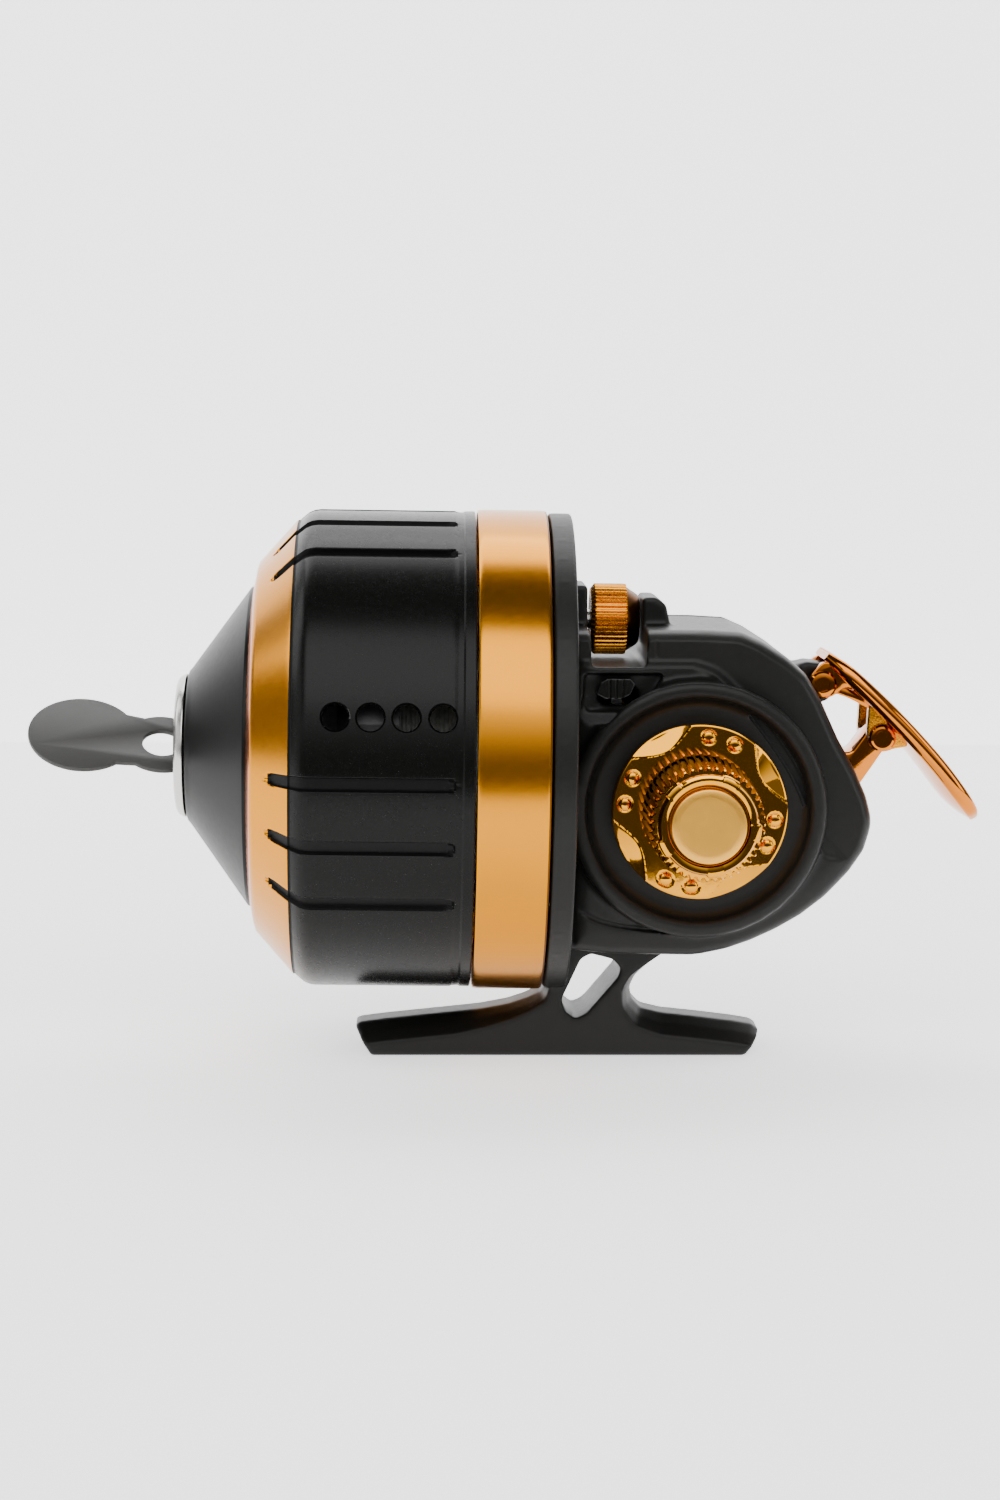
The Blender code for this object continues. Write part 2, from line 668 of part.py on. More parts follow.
# -------------------------------------------------------------------- assembly
def build():
    clear_scene()
    black = material("satin_black", (44, 44, 41), 0.45, 0.0)
    gloss_black = material("gloss_black", (28, 28, 26), 0.3, 0.0)
    gold = material("gold_anodised", (226, 158, 74), 0.3, 1.0)
    gold_chrome = material("gold_chrome", (238, 192, 112), 0.12, 1.0)
    orange_chrome = material("orange_gold_chrome", (214, 130, 60), 0.14, 1.0)
    steel = material("polished_steel", (190, 188, 187), 0.25, 1.0)
    brass = material("brass", (198, 160, 88), 0.35, 1.0)
    grey = material("grey_plastic", (95, 95, 93), 0.5, 0.0)
    white = material("white_nylon", (225, 225, 220), 0.5, 0.0)
    line = material("nylon_line", (206, 214, 206), 0.35, 0.0)
    felt = material("brown_felt", (120, 92, 66), 0.9, 0.0)
    alloy = material("cast_alloy", (150, 150, 152), 0.5, 1.0)

    reel = empty("reel_axis", (0, 0, AXIS_Z), (0, TILT, 0))
    pivot = empty("lever_axis", (LEVER[0], 0, LEVER[1]))
    crank = empty("crank_axis", (CRANK[0], 0, CRANK[1]))

    def on_reel(name, geo, mat, origin=(0, 0, 0), sharp=32):
        return add_mesh(name, geo[0], geo[1], mat, origin, reel, sharp)

    def at_crank(name, geo, mat, sharp=32):
        v = [(x - CRANK[0], y, z - CRANK[1]) for x, y, z in geo[0]]
        return add_mesh(name, v, geo[1], mat, (0, 0, 0), crank, sharp)

    def at_lever(name, geo, mat, sharp=32):
        v = [(x - LEVER[0], y, z - LEVER[1]) for x, y, z in geo[0]]
        return add_mesh(name, v, geo[1], mat, (0, 0, 0), pivot, sharp)

    cx, cz = CRANK

    # ---- main frame: flange, hub, housing, stem and foot in one casting
    g = rounded_plate(BODY_OUTLINE, BODY_Y0, BODY_Y1, 3.0)
    frame = add_mesh("main_frame", g[0], g[1], black)
    join(frame, "tool_flange", turned([(FLANGE_FRONT, 0), (FLANGE_FRONT, FLANGE_R - 0.5),
         (FLANGE_FRONT + 0.5, FLANGE_R), (FLANGE_BACK - 1.0, FLANGE_R), (FLANGE_BACK, FLANGE_R - 1.1),
         (FLANGE_BACK, 0)], N_BIG), reel)
    join(frame, "tool_foot", layered([inset(FOOT_OUTLINE, 0.5), FOOT_OUTLINE, FOOT_OUTLINE, inset(FOOT_OUTLINE, 0.5)],
         [-FOOT_HALF, -FOOT_HALF + 0.5, FOOT_HALF - 0.5, FOOT_HALF]))
    join(frame, "tool_crank_boss", turned([(-20.6, 0), (-20.6, 18.6), (-20.1, 19.4), (-16.0, 19.9), (-16.0, 0)],
         36, "Y", (cx, 0, cz)))
    join(frame, "tool_boss_left", box(0.2, 4.9, -6.0, 6.0, 60.3, 73.4))
    join(frame, "tool_boss_right", prism([(12.1, 60.3), (16.6, 60.3), (17.0, 67.7), (16.4, 70.4), (14.9, 71.6), (12.1, 71.6)],
         -6.0, 6.0))
    cut(frame, "tool_cavity", prism(CAVITY_OUTLINE, CAVITY_Y0, BODY_Y1 + 1))
    join(frame, "tool_hub", turned([(HUB_FRONT, 0), (HUB_FRONT, HUB_R - 0.4), (HUB_FRONT + 0.4, HUB_R),
         (FLANGE_FRONT + 0.5, HUB_R), (FLANGE_FRONT + 0.5, 0)], N_MED), reel)
    for i, (sx, sz) in enumerate(SCREWS):
        join(frame, "tool_post_%d" % (i + 1), turned(tube(POST_Y0[i], BODY_Y1 - 0.3, 0, 2.9), 12, "Y", (sx, 0, sz)))
        cut(frame, "tool_thread_%d" % (i + 1), turned(tube(4.0, BODY_Y1 + 1, 0, 1.35), 12, "Y", (sx, 0, sz)))
    join(frame, "tool_cradle", box(34.0, 39.0, CAVITY_Y0 - 0.5, 1.2, 43.2, 50.4))
    cut(frame, "tool_shaft_bore", turned([(HUB_FRONT - 1, 0), (HUB_FRONT - 1, 2.3), (-1.4, 2.3), (-1.4, 6.3), (4.6, 6.3),
         (4.6, 2.85), (40.0, 2.85), (40.0, 0)], N_MED, "X", phase=0.05), reel)
    cut(frame, "tool_dish", turned([(-24.0, 0), (-24.0, 17.4), (-19.6, 16.9), (-18.6, 15.9), (-18.6, 6.6), (-10.0, 6.6), (-10.0, 0)],
        36, "Y", (cx, 0, cz), phase=0.04))
    cut(frame, "tool_stem_window", prism(STEM_HOLE, -12, 12))
    cut(frame, "tool_drag_pocket", box(4.3, 12.7, -22, 22, 61.9, 80.0))
    cut(frame, "tool_drag_rod_hole", turned(tube(-4.0, 12.0, 0, 1.9), 16, "X", (0, 0, 20.65)), reel)
    cut(frame, "tool_lever_slot", box(38.0, 52.0, -4.3, 4.3, 38.2, 49.9))
    cut(frame, "tool_lever_recess", turned(tube(-8.2, 8.2, 0, 3.3), N_SMALL, "Y", (LEVER[0], 0, LEVER[1])))
    join(frame, "tool_lever_lug", prism([(35.2, 58.6), (36.4, 61.0), (38.6, 61.6), (41.6, 61.2), (43.2, 59.4), (43.3, 57.0),
         (41.6, 55.3), (38.6, 55.0), (36.6, 54.4)], -3.6, 3.6))
    cut(frame, "tool_pivot_hole", turned(tube(-8, 8, 0, 1.6), 16, "Y", (LEVER[0], 0, LEVER[1])))
    cut(frame, "tool_switch_pocket", prism([(3.4, 60.6), (14.0, 60.6), (14.0, 57.2), (12.4, 55.0), (3.4, 55.0)], -19.0, -16.2))
    cut(frame, "tool_switch_slot", box(5.6, 11.3, -17.0, -14.0, 56.4, 58.7))
    cut(frame, "tool_pawl_hole", turned(tube(-16.0, -12.0, 0, 1.05), 12, "Y", (PAWL[0], 0, PAWL[1])))

    # ---- side cover and its screws
    side_outline = [(2.4, 67.2)] + BODY_OUTLINE[1:-1] + [(2.4, 18.3)]
    g = rounded_plate(side_outline, COVER_Y1, COVER_Y0, 2.0)
    side = add_mesh("side_cover", g[0], g[1], black)
    join(side, "tool_side_boss", turned([(17.0, 0), (17.0, 12.0), (18.4, 10.5), (20.5, 8.4), (23.5, 8.0), (24.0, 7.5), (24.0, 0)],
         N_MED, "Y", (cx, 0, cz)))
    cut(side, "tool_side_seat", turned(tube(13.0, 19.0, 0, 6.6), N_MED, "Y", (cx, 0, cz)))
    cut(side, "tool_side_bore", turned(tube(12.0, 26.0, 0, 3.5), N_SMALL, "Y", (cx, 0, cz)))
    cut(side, "tool_side_pocket", box(4.3, 12.7, 12, 22, 61.9, 80.0))
    for i, (sx, sz) in enumerate(SCREWS):
        cut(side, "tool_clear_%d" % (i + 1), turned([(13.0, 0), (13.0, 1.5), (15.9, 1.5), (15.9, 3.0), (18.5, 3.0), (18.5, 0)],
            16, "Y", (sx, 0, sz)))
        prof = [(6.0, 0), (6.0, 1.0), (16.2, 1.0), (16.2, 2.6), (17.3, 2.3), (17.3, 0.9), (16.9, 0)]
        s = turned(prof, 12, "Y", (sx, 0, sz))
        add_mesh("side_cover_screw_%d" % (i + 1), s[0], s[1], steel, (sx, 0, sz))

    # ---- bearings and fixed inner pieces
    g = turned(tube(-18.3, -15.2, CRANK_R + GAP, 6.3), N_MED, "Y", (cx, 0, cz))
    add_mesh("crank_bearing_near", g[0], g[1], steel, (cx, 0, cz))
    g = turned(tube(15.0, 18.6, CRANK_R + GAP, 6.3), N_MED, "Y", (cx, 0, cz))
    add_mesh("crank_bearing_far", g[0], g[1], steel, (cx, 0, cz))
    on_reel("pinion_bearing", turned(tube(-1.1, 3.2, 3.0, 6.0), N_MED), steel)
    on_reel("spool_clip", turned(tube(-28.1, -27.1, HUB_R + GAP, 11.4), N_MED), steel)
    on_reel("drag_washer", turned(tube(-5.9, -5.1, 10.0, 26.0), N_MED), felt)
    g = turned(tube(-15.0, -8.2, 0, 0.75), 12, "Y", (PAWL[0], 0, PAWL[1]))
    add_mesh("pawl_pin", g[0], g[1], steel, (PAWL[0], 0, PAWL[1]))
    at_lever("lever_pivot_pin", turned([(-7.4, 0), (-7.4, 1.9), (-6.4, 2.1), (-6.4, 1.3), (6.4, 1.3), (6.4, 2.1), (7.4, 1.9), (7.4, 0)],
             16, "Y", (LEVER[0], 0, LEVER[1])), orange_chrome)

    # ---- front cover group
    cover = on_reel("front_cover", turned(cover_profile(), N_BIG, phase=math.radians(2.0)), gold)
    k = 0
    for c in GROOVE_CENTRES:
        for d in (-GROOVE_STEP, 0.0, GROOVE_STEP):
            k += 1
            cut(cover, "tool_groove_%02d" % k, groove_cutter(c + d), reel)
    for a in HOLE_ANGLES:
        for u in HOLE_U:
            k += 1
            cut(cover, "tool_drain_%02d" % k, radial_pin(u, a, COVER_R - 4, COVER_R + 2, HOLE_R, 12), reel)
    w = 1.7
    on_reel("nose_cone", turned([(NOSE_U, NOSE_R), (-56.9, 12.1), (CONE_BACK[0], CONE_BACK[1]), (-47.5, 24.9), (-45.0, 24.9),
            (-45.0, 23.0), (-47.9, 22.0), (-55.6, 11.3), (-55.6, 10.8), (-57.3, 10.8)], N_BIG), gloss_black)
    on_reel("nose_ring", turned([(-59.1, 9.0), (-59.1, 10.1), (-58.7, 10.7), (-57.6, 11.3), (-57.6, 10.5), (-53.6, 10.5),
            (-53.6, GUIDE_BORE), (-58.7, GUIDE_BORE)], 28), steel)
    on_reel("cover_band", turned([(BAND_FRONT, BAND_R - 0.3), (BAND_FRONT + 0.3, BAND_R), (BAND_BACK - 0.3, BAND_R),
            (BAND_BACK, BAND_R - 0.3), (BAND_BACK, COVER_R - 2.4), (BAND_FRONT, COVER_R - 2.4)], N_BIG), gold)

    # ---- line tab, held at the mouth by its eye
    tab_pivot = empty("tab_axis", (-61.6, 0, 47.9))
    tilt = empty("tab_tilt", (0, 0, 0), (math.radians(33), math.radians(7.0), 0), tab_pivot)
    g = tab_geo()
    tab = add_mesh("line_tab", g[0], g[1], grey, (0, 0, 0), tilt)
    cut(tab, "tool_tab_eye", turned(tube(-3, 3, 0, TAB_HOLE_R), 20, "Z"), tilt)

    # ---- spool, line and drag
    on_reel("spool", turned([(SPOOL_BACK, HUB_R + 0.35), (SPOOL_BACK, SPOOL_R), (SPOOL_BACK - 1.6, SPOOL_R),
            (SPOOL_BACK - 1.6, ARBOR_R), (SPOOL_FRONT + 1.6, ARBOR_R), (SPOOL_FRONT + 1.6, SPOOL_R), (SPOOL_FRONT, SPOOL_R), (SPOOL_FRONT, HUB_R + 0.35)], 24), alloy)
    on_reel("line_winding", turned([(SPOOL_FRONT + 1.9, ARBOR_R + GAP), (SPOOL_FRONT + 1.9, WIND_R - 0.8), (SPOOL_FRONT + 5, WIND_R),
            (SPOOL_BACK - 5, WIND_R), (SPOOL_BACK - 1.9, WIND_R - 0.8), (SPOOL_BACK - 1.9, ARBOR_R + GAP)], 24), line)
    on_reel("drag_plate", turned(tube(-4.75, -3.6, 10.0, 26.0), N_MED), steel)
    zr = 20.65
    on_reel("drag_rod", turned(tube(-3.3, 12.0, 0, 1.5, 0.3), 14, "X", (0, 0, zr)), steel, (0, 0, zr))
    prof = [(DRAG_X0, 1.8), (DRAG_X0, 4.6), (DRAG_X0 + 0.6, DRAG_R, 0.35), (DRAG_X1 - 1.1, DRAG_R, 0.35), (DRAG_X1 - 0.4, 4.4),
            (DRAG_X1, 4.0), (DRAG_X1, 1.8)]
    on_reel("drag_wheel", turned(prof, 32, "X", (0, 0, zr), teeth=16), gold, (0, 0, zr))

    # ---- centre shaft, spinner head and pick-up pins
    on_reel("center_shaft", turned(tube(-42.0, 35.8, 0, SHAFT_R, 0.3), 16), steel)
    head = on_reel("spinner_head", turned([(-38.0, 2.0), (-38.0, 7.0), (-39.0, 9.0), (-38.5, 18.0), (-36.2, 27.0), (-33.6, 31.0),
            (-31.5, 32.6), (-24.5, 32.6), (-24.5, 31.2), (-31.0, 31.2), (-32.6, 29.8), (-34.9, 26.2), (-36.8, 17.6), (-36.8, 6.0),
            (-29.2, 6.0), (-29.2, 2.0)], 28), alloy)
    for i, a in enumerate((90.0, 270.0)):
        cut(head, "tool_pin_hole_%d" % (i + 1), radial_pin(-28.6, a, 29.0, 36.0, 1.3), reel)
        g = radial_pin(-28.6, a, 24.0, 34.3, 1.0)
        on_reel("pickup_pin_%d" % (i + 1), g, brass)
    on_reel("spinner_nut", turned(tube(-41.2, -38.3, 2.0, 3.4, 0.3), 6), brass)
    g = turned(tube(36.1, 42.3, 0, 2.5, 0.4), 16)
    on_reel("push_plunger", g, white)
    on_reel("pinion_gear", pinion_geo(), brass, sharp=25)
    on_reel("return_spring", coil(11.0, 35.7, 9, 2.3, 0.27), steel)

    # ---- crank train
    at_crank("drive_gear", face_gear_geo(), brass, sharp=25)
    prof = [(-33.0, 0), (-33.0, CRANK_R - 0.3), (-32.7, CRANK_R), (24.4, CRANK_R), (24.4, 4.4), (35.9, 4.4), (35.9, 2.4), (39.6, 2.4), (39.6, 0)]
    at_crank("crankshaft", turned(prof, N_SMALL, "Y", (cx, 0, cz)), steel)
    at_crank("ratchet_wheel", ring_prism(ratchet_outline(), CRANK_R + GAP, 24, -11.0, -9.0), steel, 20)
    arm = at_crank("crank_arm", arm_geo(), black)
    cut(arm, "tool_arm_bore", turned(tube(34, 42, 0, 2.75), 16, "Y", phase=0.13), crank)
    cut(arm, "tool_arm_pin_bore", turned(tube(38, 46, 0, 2.1), 16, "Y", (-ARM_LEN, 0, 0), phase=0.13), crank)
    at_crank("crank_nut", turned(tube(39.9, 42.4, 0, 4.6, 0.5), 6, "Y", (cx, 0, cz)), gold_chrome)
    kx = cx - ARM_LEN
    at_crank("knob_pin", turned([(39.9, 0), (39.9, 1.8), (60.0, 1.8), (60.0, 0)], 14, "Y", (kx, 0, cz)), steel)
    at_crank("cap_flange", turned([(-19.3, CRANK_R + GAP), (-19.3, 12.4), (-20.2, 13.2), (-20.9, 13.2), (-21.6, 12.6), (-22.0, 11.4),
            (-22.0, CRANK_R + GAP)], 26, "Y", (cx, 0, cz)), gold_chrome)
    prof = [(-22.3, CRANK_R + GAP), (-22.3, 8.9, 0.45), (-35.0, 8.5, 0.45), (-35.4, 7.4), (-36.5, 7.1), (-36.5, 5.9), (-35.5, 5.9), (-35.5, 0),
            (-33.3, 0), (-33.3, CRANK_R + GAP)]
    at_crank("cap_knob", turned(prof, 36, "Y", (cx, 0, cz), teeth=18), gold_chrome)
    at_crank("cap_disc", turned([(-35.8, 0), (-35.8, 5.5), (-36.9, 5.5), (-37.2, 5.1), (-37.2, 0)], N_MED, "Y", (cx, 0, cz)), gold)

    # ---- handle knob
    kn = empty("knob_axis", (kx, 0, cz))
    prof = [(43.6, 2.1), (43.6, 5.0), (44.6, 5.8), (47.5, 6.0), (51.0, 7.6), (54.5, 8.6), (58.0, 8.2), (60.4, 6.6), (60.4, 2.1)]
    g = turned(prof, N_MED, "Y")
    add_mesh("handle_knob", g[0], g[1], black, (0, 0, 0), kn)
    g = turned([(60.7, 0), (60.7, 6.2), (61.4, 5.9), (62.0, 4.6), (62.2, 0)], N_SMALL, "Y")
    add_mesh("knob_cap", g[0], g[1], gold, (0, 0, 0), kn)

    # ---- anti-reverse pawl and switch
    px, pz = PAWL
    pawl_side = [(px - 1.7, pz - 0.6), (px - 1.2, pz + 1.6), (px - 0.6, pz + 7.6), (px + 0.6, pz + 7.6), (px + 1.3, pz + 1.6),
                 (px + 2.0, pz + 0.2), (px + 3.6, pz - 3.9), (px + 2.6, pz - 4.6), (px - 0.2, pz - 2.0)]
    g = prism(pawl_side, -10.9, -9.1)
    pawl = add_mesh("pawl", g[0], g[1], steel, (px, 0, pz))
    cut(pawl, "tool_pawl_eye", turned(tube(-12, -8, 0, 1.05), 12, "Y", (px, 0, pz)))
    g = prism([(5.0, 57.9), (5.6, 59.6), (6.6, 60.2), (10.2, 60.2), (10.8, 59.4), (10.2, 57.9), (9.0, 57.2), (6.4, 57.2)], -18.4, -16.5)
    switch = add_mesh("anti_reverse_switch", g[0], g[1], gloss_black, (8.0, 0, 58.6))
    join(switch, "tool_switch_post", box(6.1, 7.4, -17.0, -9.4, 56.9, 58.3))

    # ---- thumb lever: blade with its two brackets, arm and rivet
    blade = at_lever("thumb_lever", blade_geo(), orange_chrome)
    ear_top = [(38.4, 58.9), (39.4, 60.4), (40.9, 61.9), (43.2, 61.2), (46.2, 58.7), (46.0, 57.2), (44.2, 58.0), (42.4, 56.4), (40.6, 56.0), (39.0, 56.7)]
    ear_low = [(47.9, 54.6), (48.2, 56.4), (50.6, 54.6), (54.9, 50.2), (54.2, 48.6), (52.0, 48.3), (50.4, 47.7), (48.4, 48.4), (47.7, 50.2)]
    for i, (outline, tag) in enumerate(((ear_top, "top"), (ear_low, "low"))):
        for s, side_name in ((-1, "near"), (1, "far")):
            pts = [(x - LEVER[0], z - LEVER[1]) for x, z in outline]
            join(blade, "tool_ear_%s_%s" % (tag, side_name), prism(pts, s * 4.0, s * 6.0), pivot)
    cut(blade, "tool_ear_pivot_hole", turned(tube(-7, 7, 0, 1.6), 14, "Y"), pivot)
    cut(blade, "tool_ear_rivet_hole", turned(tube(-7, 7, 0, 1.5), 14, "Y", (RIVET[0] - LEVER[0], 0, RIVET[1] - LEVER[1])), pivot)
    arm_side = [(47.7, 50.3), (48.6, 51.9), (50.4, 52.2), (52.0, 51.0), (52.0, 49.4), (50.9, 48.1), (49.0, 45.2), (46.8, 42.0), (45.0, 40.3), (43.5, 40.7),
                (42.8, 42.5), (42.7, 46.9), (44.0, 47.5), (45.6, 47.4)]
    la = at_lever("lever_arm", prism(arm_side, -3.6, 3.6), orange_chrome)
    cut(la, "tool_arm_rivet_hole", turned(tube(-7, 7, 0, 1.5), 14, "Y", (RIVET[0] - LEVER[0], 0, RIVET[1] - LEVER[1])), pivot)
    at_lever("lever_rivet", turned([(-7.0, 0), (-7.0, 1.7), (-6.3, 2.1), (-6.3, 1.2), (6.3, 1.2), (6.3, 2.1), (7.0, 1.7), (7.0, 0)],
             14, "Y", (RIVET[0], 0, RIVET[1])), orange_chrome)


build()
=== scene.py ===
import json
import math
import bpy
import bmesh
from mathutils import Matrix, Vector, Euler

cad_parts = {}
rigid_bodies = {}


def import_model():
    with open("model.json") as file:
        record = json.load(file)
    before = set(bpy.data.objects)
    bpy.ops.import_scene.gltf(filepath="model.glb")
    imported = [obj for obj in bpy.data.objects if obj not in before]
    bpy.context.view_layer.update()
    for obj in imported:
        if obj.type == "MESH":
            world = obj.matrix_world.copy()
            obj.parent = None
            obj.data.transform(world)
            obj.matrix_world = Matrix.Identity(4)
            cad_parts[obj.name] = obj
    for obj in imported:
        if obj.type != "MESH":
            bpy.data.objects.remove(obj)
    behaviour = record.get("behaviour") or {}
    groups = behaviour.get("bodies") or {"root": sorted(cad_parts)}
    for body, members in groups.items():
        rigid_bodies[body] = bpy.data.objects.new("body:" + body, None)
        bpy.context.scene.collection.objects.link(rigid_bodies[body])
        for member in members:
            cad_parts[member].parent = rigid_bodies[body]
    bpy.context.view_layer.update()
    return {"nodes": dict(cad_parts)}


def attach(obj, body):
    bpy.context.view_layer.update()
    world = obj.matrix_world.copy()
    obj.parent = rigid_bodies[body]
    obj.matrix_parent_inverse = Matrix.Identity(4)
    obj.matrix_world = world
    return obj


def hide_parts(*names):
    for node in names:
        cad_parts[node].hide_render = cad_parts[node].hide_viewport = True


for o in list(bpy.data.objects):
    bpy.data.objects.remove(o, do_unlink=True)

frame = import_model()
NODES = frame["nodes"]

MM = 0.001
TAU = 2 * math.pi
TILT = math.radians(0.55)
CT, ST = math.cos(TILT), math.sin(TILT)
CRANK = (20.5, 40.6)


# ---------------------------------------------------------------- materials

def material(name, colour, metallic=0.0, rough=0.4, rough_var=0.06, grain=0.0, grain_scale=2500.0,
             tint=0.08, tint_scale=120.0, turned_axis=None, turned=0.0, turned_scale=6000.0,
             coat=0.0, coat_rough=0.1, ior=1.5, spec=0.5, brushed=0.0, transmission=0.0, sheen=0.0):
    """A finish made only of procedural nodes; scales are in features per metre."""
    m = bpy.data.materials.new(name)
    m.use_nodes = True
    nt = m.node_tree
    nodes, links = nt.nodes, nt.links
    bsdf = nodes["Principled BSDF"]
    bsdf.inputs["Metallic"].default_value = metallic
    bsdf.inputs["IOR"].default_value = ior
    bsdf.inputs["Specular IOR Level"].default_value = spec
    bsdf.inputs["Coat Weight"].default_value = coat
    bsdf.inputs["Coat Roughness"].default_value = coat_rough
    bsdf.inputs["Transmission Weight"].default_value = transmission
    bsdf.inputs["Sheen Weight"].default_value = sheen
    tc = nodes.new("ShaderNodeTexCoord")

    def noise(scale, detail=3.0, rough_=0.55, vector=None):
        n = nodes.new("ShaderNodeTexNoise")
        n.inputs["Scale"].default_value = scale
        n.inputs["Detail"].default_value = detail
        n.inputs["Roughness"].default_value = rough_
        links.new(vector or tc.outputs["Object"], n.inputs["Vector"])
        return n

    wide = noise(tint_scale, 4.0)
    ramp = nodes.new("ShaderNodeMixRGB")
    links.new(wide.outputs["Fac"], ramp.inputs["Fac"])
    lo = [max(0.0, c * (1 - tint)) for c in colour]
    hi = [min(1.0, c * (1 + tint)) for c in colour]
    ramp.inputs["Color1"].default_value = (*lo, 1)
    ramp.inputs["Color2"].default_value = (*hi, 1)
    links.new(ramp.outputs["Color"], bsdf.inputs["Base Color"])

    fine = noise(tint_scale * 9, 3.0)
    mr = nodes.new("ShaderNodeMapRange")
    mr.inputs["To Min"].default_value = max(0.02, rough - rough_var)
    mr.inputs["To Max"].default_value = min(1.0, rough + rough_var)
    links.new(fine.outputs["Fac"], mr.inputs["Value"])
    links.new(mr.outputs["Result"], bsdf.inputs["Roughness"])

    normal = None
    if grain > 0:
        g = noise(grain_scale, 2.0, 0.6)
        b = nodes.new("ShaderNodeBump")
        b.inputs["Strength"].default_value = grain
        b.inputs["Distance"].default_value = 0.00012
        links.new(g.outputs["Fac"], b.inputs["Height"])
        normal = b
    if turned_axis is not None:
        mp = nodes.new("ShaderNodeMapping")
        sc = [6.0, 6.0, 6.0]
        sc["XYZ".index(turned_axis)] = turned_scale
        mp.inputs["Scale"].default_value = sc
        links.new(tc.outputs["Object"], mp.inputs["Vector"])
        t = noise(1.0, 2.0, 0.5, mp.outputs["Vector"])
        b = nodes.new("ShaderNodeBump")
        b.inputs["Strength"].default_value = turned
        b.inputs["Distance"].default_value = 0.00006
        links.new(t.outputs["Fac"], b.inputs["Height"])
        if normal is not None:
            links.new(normal.outputs["Normal"], b.inputs["Normal"])
        normal = b
    if normal is not None:
        links.new(normal.outputs["Normal"], bsdf.inputs["Normal"])
    return m


M = {
    "paint": material("paint_satin_black", (0.0075, 0.0075, 0.0068), rough=0.40, grain=0.14, grain_scale=3200, spec=0.20),
    "barrel_black": material("barrel_black", (0.0026, 0.0026, 0.0023), rough=0.26, turned_axis="X", turned=0.10,
                             turned_scale=5200, grain=0.02, grain_scale=5000, spec=0.15),
    "cone_black": material("cone_black", (0.0035, 0.0035, 0.0033), rough=0.34, turned_axis="X", turned=0.05,
                           grain=0.04, grain_scale=5000, spec=0.16),
    # groove black: a darker, rougher black than the barrel, painted shade in the cover's grooves and its small step
    # groove
    "groove_black_painted_shade": material("groove_black_painted_shade", (0.002, 0.002, 0.0019), rough=0.45, grain=0.1, spec=0.15),
    "gold": material("gold_anodised_satin", (0.64, 0.238, 0.002), metallic=1.0, rough=0.22, rough_var=0.03, tint=0.03,
                     turned_axis="X", turned=0.05, turned_scale=9000, grain=0.02, grain_scale=6000),
    # gold edge: a darker, redder gold for the lips where the cover meets the nose cone and the band meets the cover,
    # painted shade at the joins
    "gold_edge": material("gold_edge_line", (0.62, 0.15, 0.012), metallic=1.0, rough=0.22, grain=0.05),
    "gold_dark": material("gold_shadow_edge", (0.13, 0.045, 0.006), metallic=1.0, rough=0.35, grain=0.05),
    "chrome_gold": material("gold_chrome", (0.72, 0.30, 0.010), metallic=1.0, rough=0.05, rough_var=0.02, tint=0.04,
                            grain=0.015, grain_scale=900),
    "chrome_orange": material("orange_gold_chrome", (0.60, 0.175, 0.014), metallic=1.0, rough=0.07, rough_var=0.02,
                              tint=0.05, grain=0.03, grain_scale=700),
    "chrome_grain": material("gold_chrome_grained", (0.66, 0.255, 0.008), metallic=1.0, rough=0.26, rough_var=0.08,
                             tint=0.12, grain=0.30, grain_scale=4200),
    "disc_gold": material("pale_gold_disc", (0.80, 0.40, 0.055), metallic=1.0, rough=0.36, tint=0.03, grain=0.05,
                          grain_scale=5000),
    "gold_recess": material("gold_recess_shadow", (0.05, 0.014, 0.003), metallic=1.0, rough=0.3, grain=0.1),
    "steel": material("polished_steel", (0.56, 0.55, 0.53), metallic=1.0, rough=0.24, tint=0.04, turned_axis="X",
                      turned=0.05, grain=0.03),
    "steel_plain": material("machined_steel", (0.50, 0.50, 0.49), metallic=1.0, rough=0.24, tint=0.06, grain=0.08),
    "brass": material("machined_brass", (0.66, 0.36, 0.09), metallic=1.0, rough=0.25, tint=0.08, grain=0.08),
    "alloy": material("cast_alloy", (0.50, 0.50, 0.50), metallic=1.0, rough=0.33, tint=0.06, grain=0.15),
    "alloy_dark": material("dark_cast_alloy", (0.05, 0.05, 0.05), metallic=0.8, rough=0.42, tint=0.06, grain=0.15),
    "nylon": material("white_nylon", (0.70, 0.69, 0.65), rough=0.42, tint=0.03, grain=0.10, spec=0.45),
    "felt": material("brown_felt", (0.16, 0.09, 0.05), rough=0.95, tint=0.25, grain=0.9, grain_scale=2600, sheen=0.3),
    "tab": material("tab_grey", (0.046, 0.046, 0.044), rough=0.42, grain=0.10, grain_scale=5200, spec=0.22),
    "rubber": material("knob_black", (0.009, 0.009, 0.009), rough=0.52, grain=0.40, grain_scale=3800, spec=0.3),
    "gloss": material("gloss_black", (0.007, 0.007, 0.0065), rough=0.16, coat=0.25, coat_rough=0.08, grain=0.05, spec=0.3),
}


def line_material():
    """Wound nylon line: fine round turns across the spool."""
    m = material("wound_line", (0.62, 0.66, 0.60), rough=0.28, tint=0.05, spec=0.5)
    nt = m.node_tree
    bsdf = nt.nodes["Principled BSDF"]
    tc = nt.nodes.new("ShaderNodeTexCoord")
    w = nt.nodes.new("ShaderNodeTexWave")
    w.bands_direction = "X"
    w.inputs["Scale"].default_value = 480.0
    w.inputs["Distortion"].default_value = 0.6
    b = nt.nodes.new("ShaderNodeBump")
    b.inputs["Strength"].default_value = 0.8
    b.inputs["Distance"].default_value = 0.0002
    nt.links.new(tc.outputs["Object"], w.inputs["Vector"])
    nt.links.new(w.outputs["Fac"], b.inputs["Height"])
    nt.links.new(b.outputs["Normal"], bsdf.inputs["Normal"])
    return m


M["line"] = line_material()

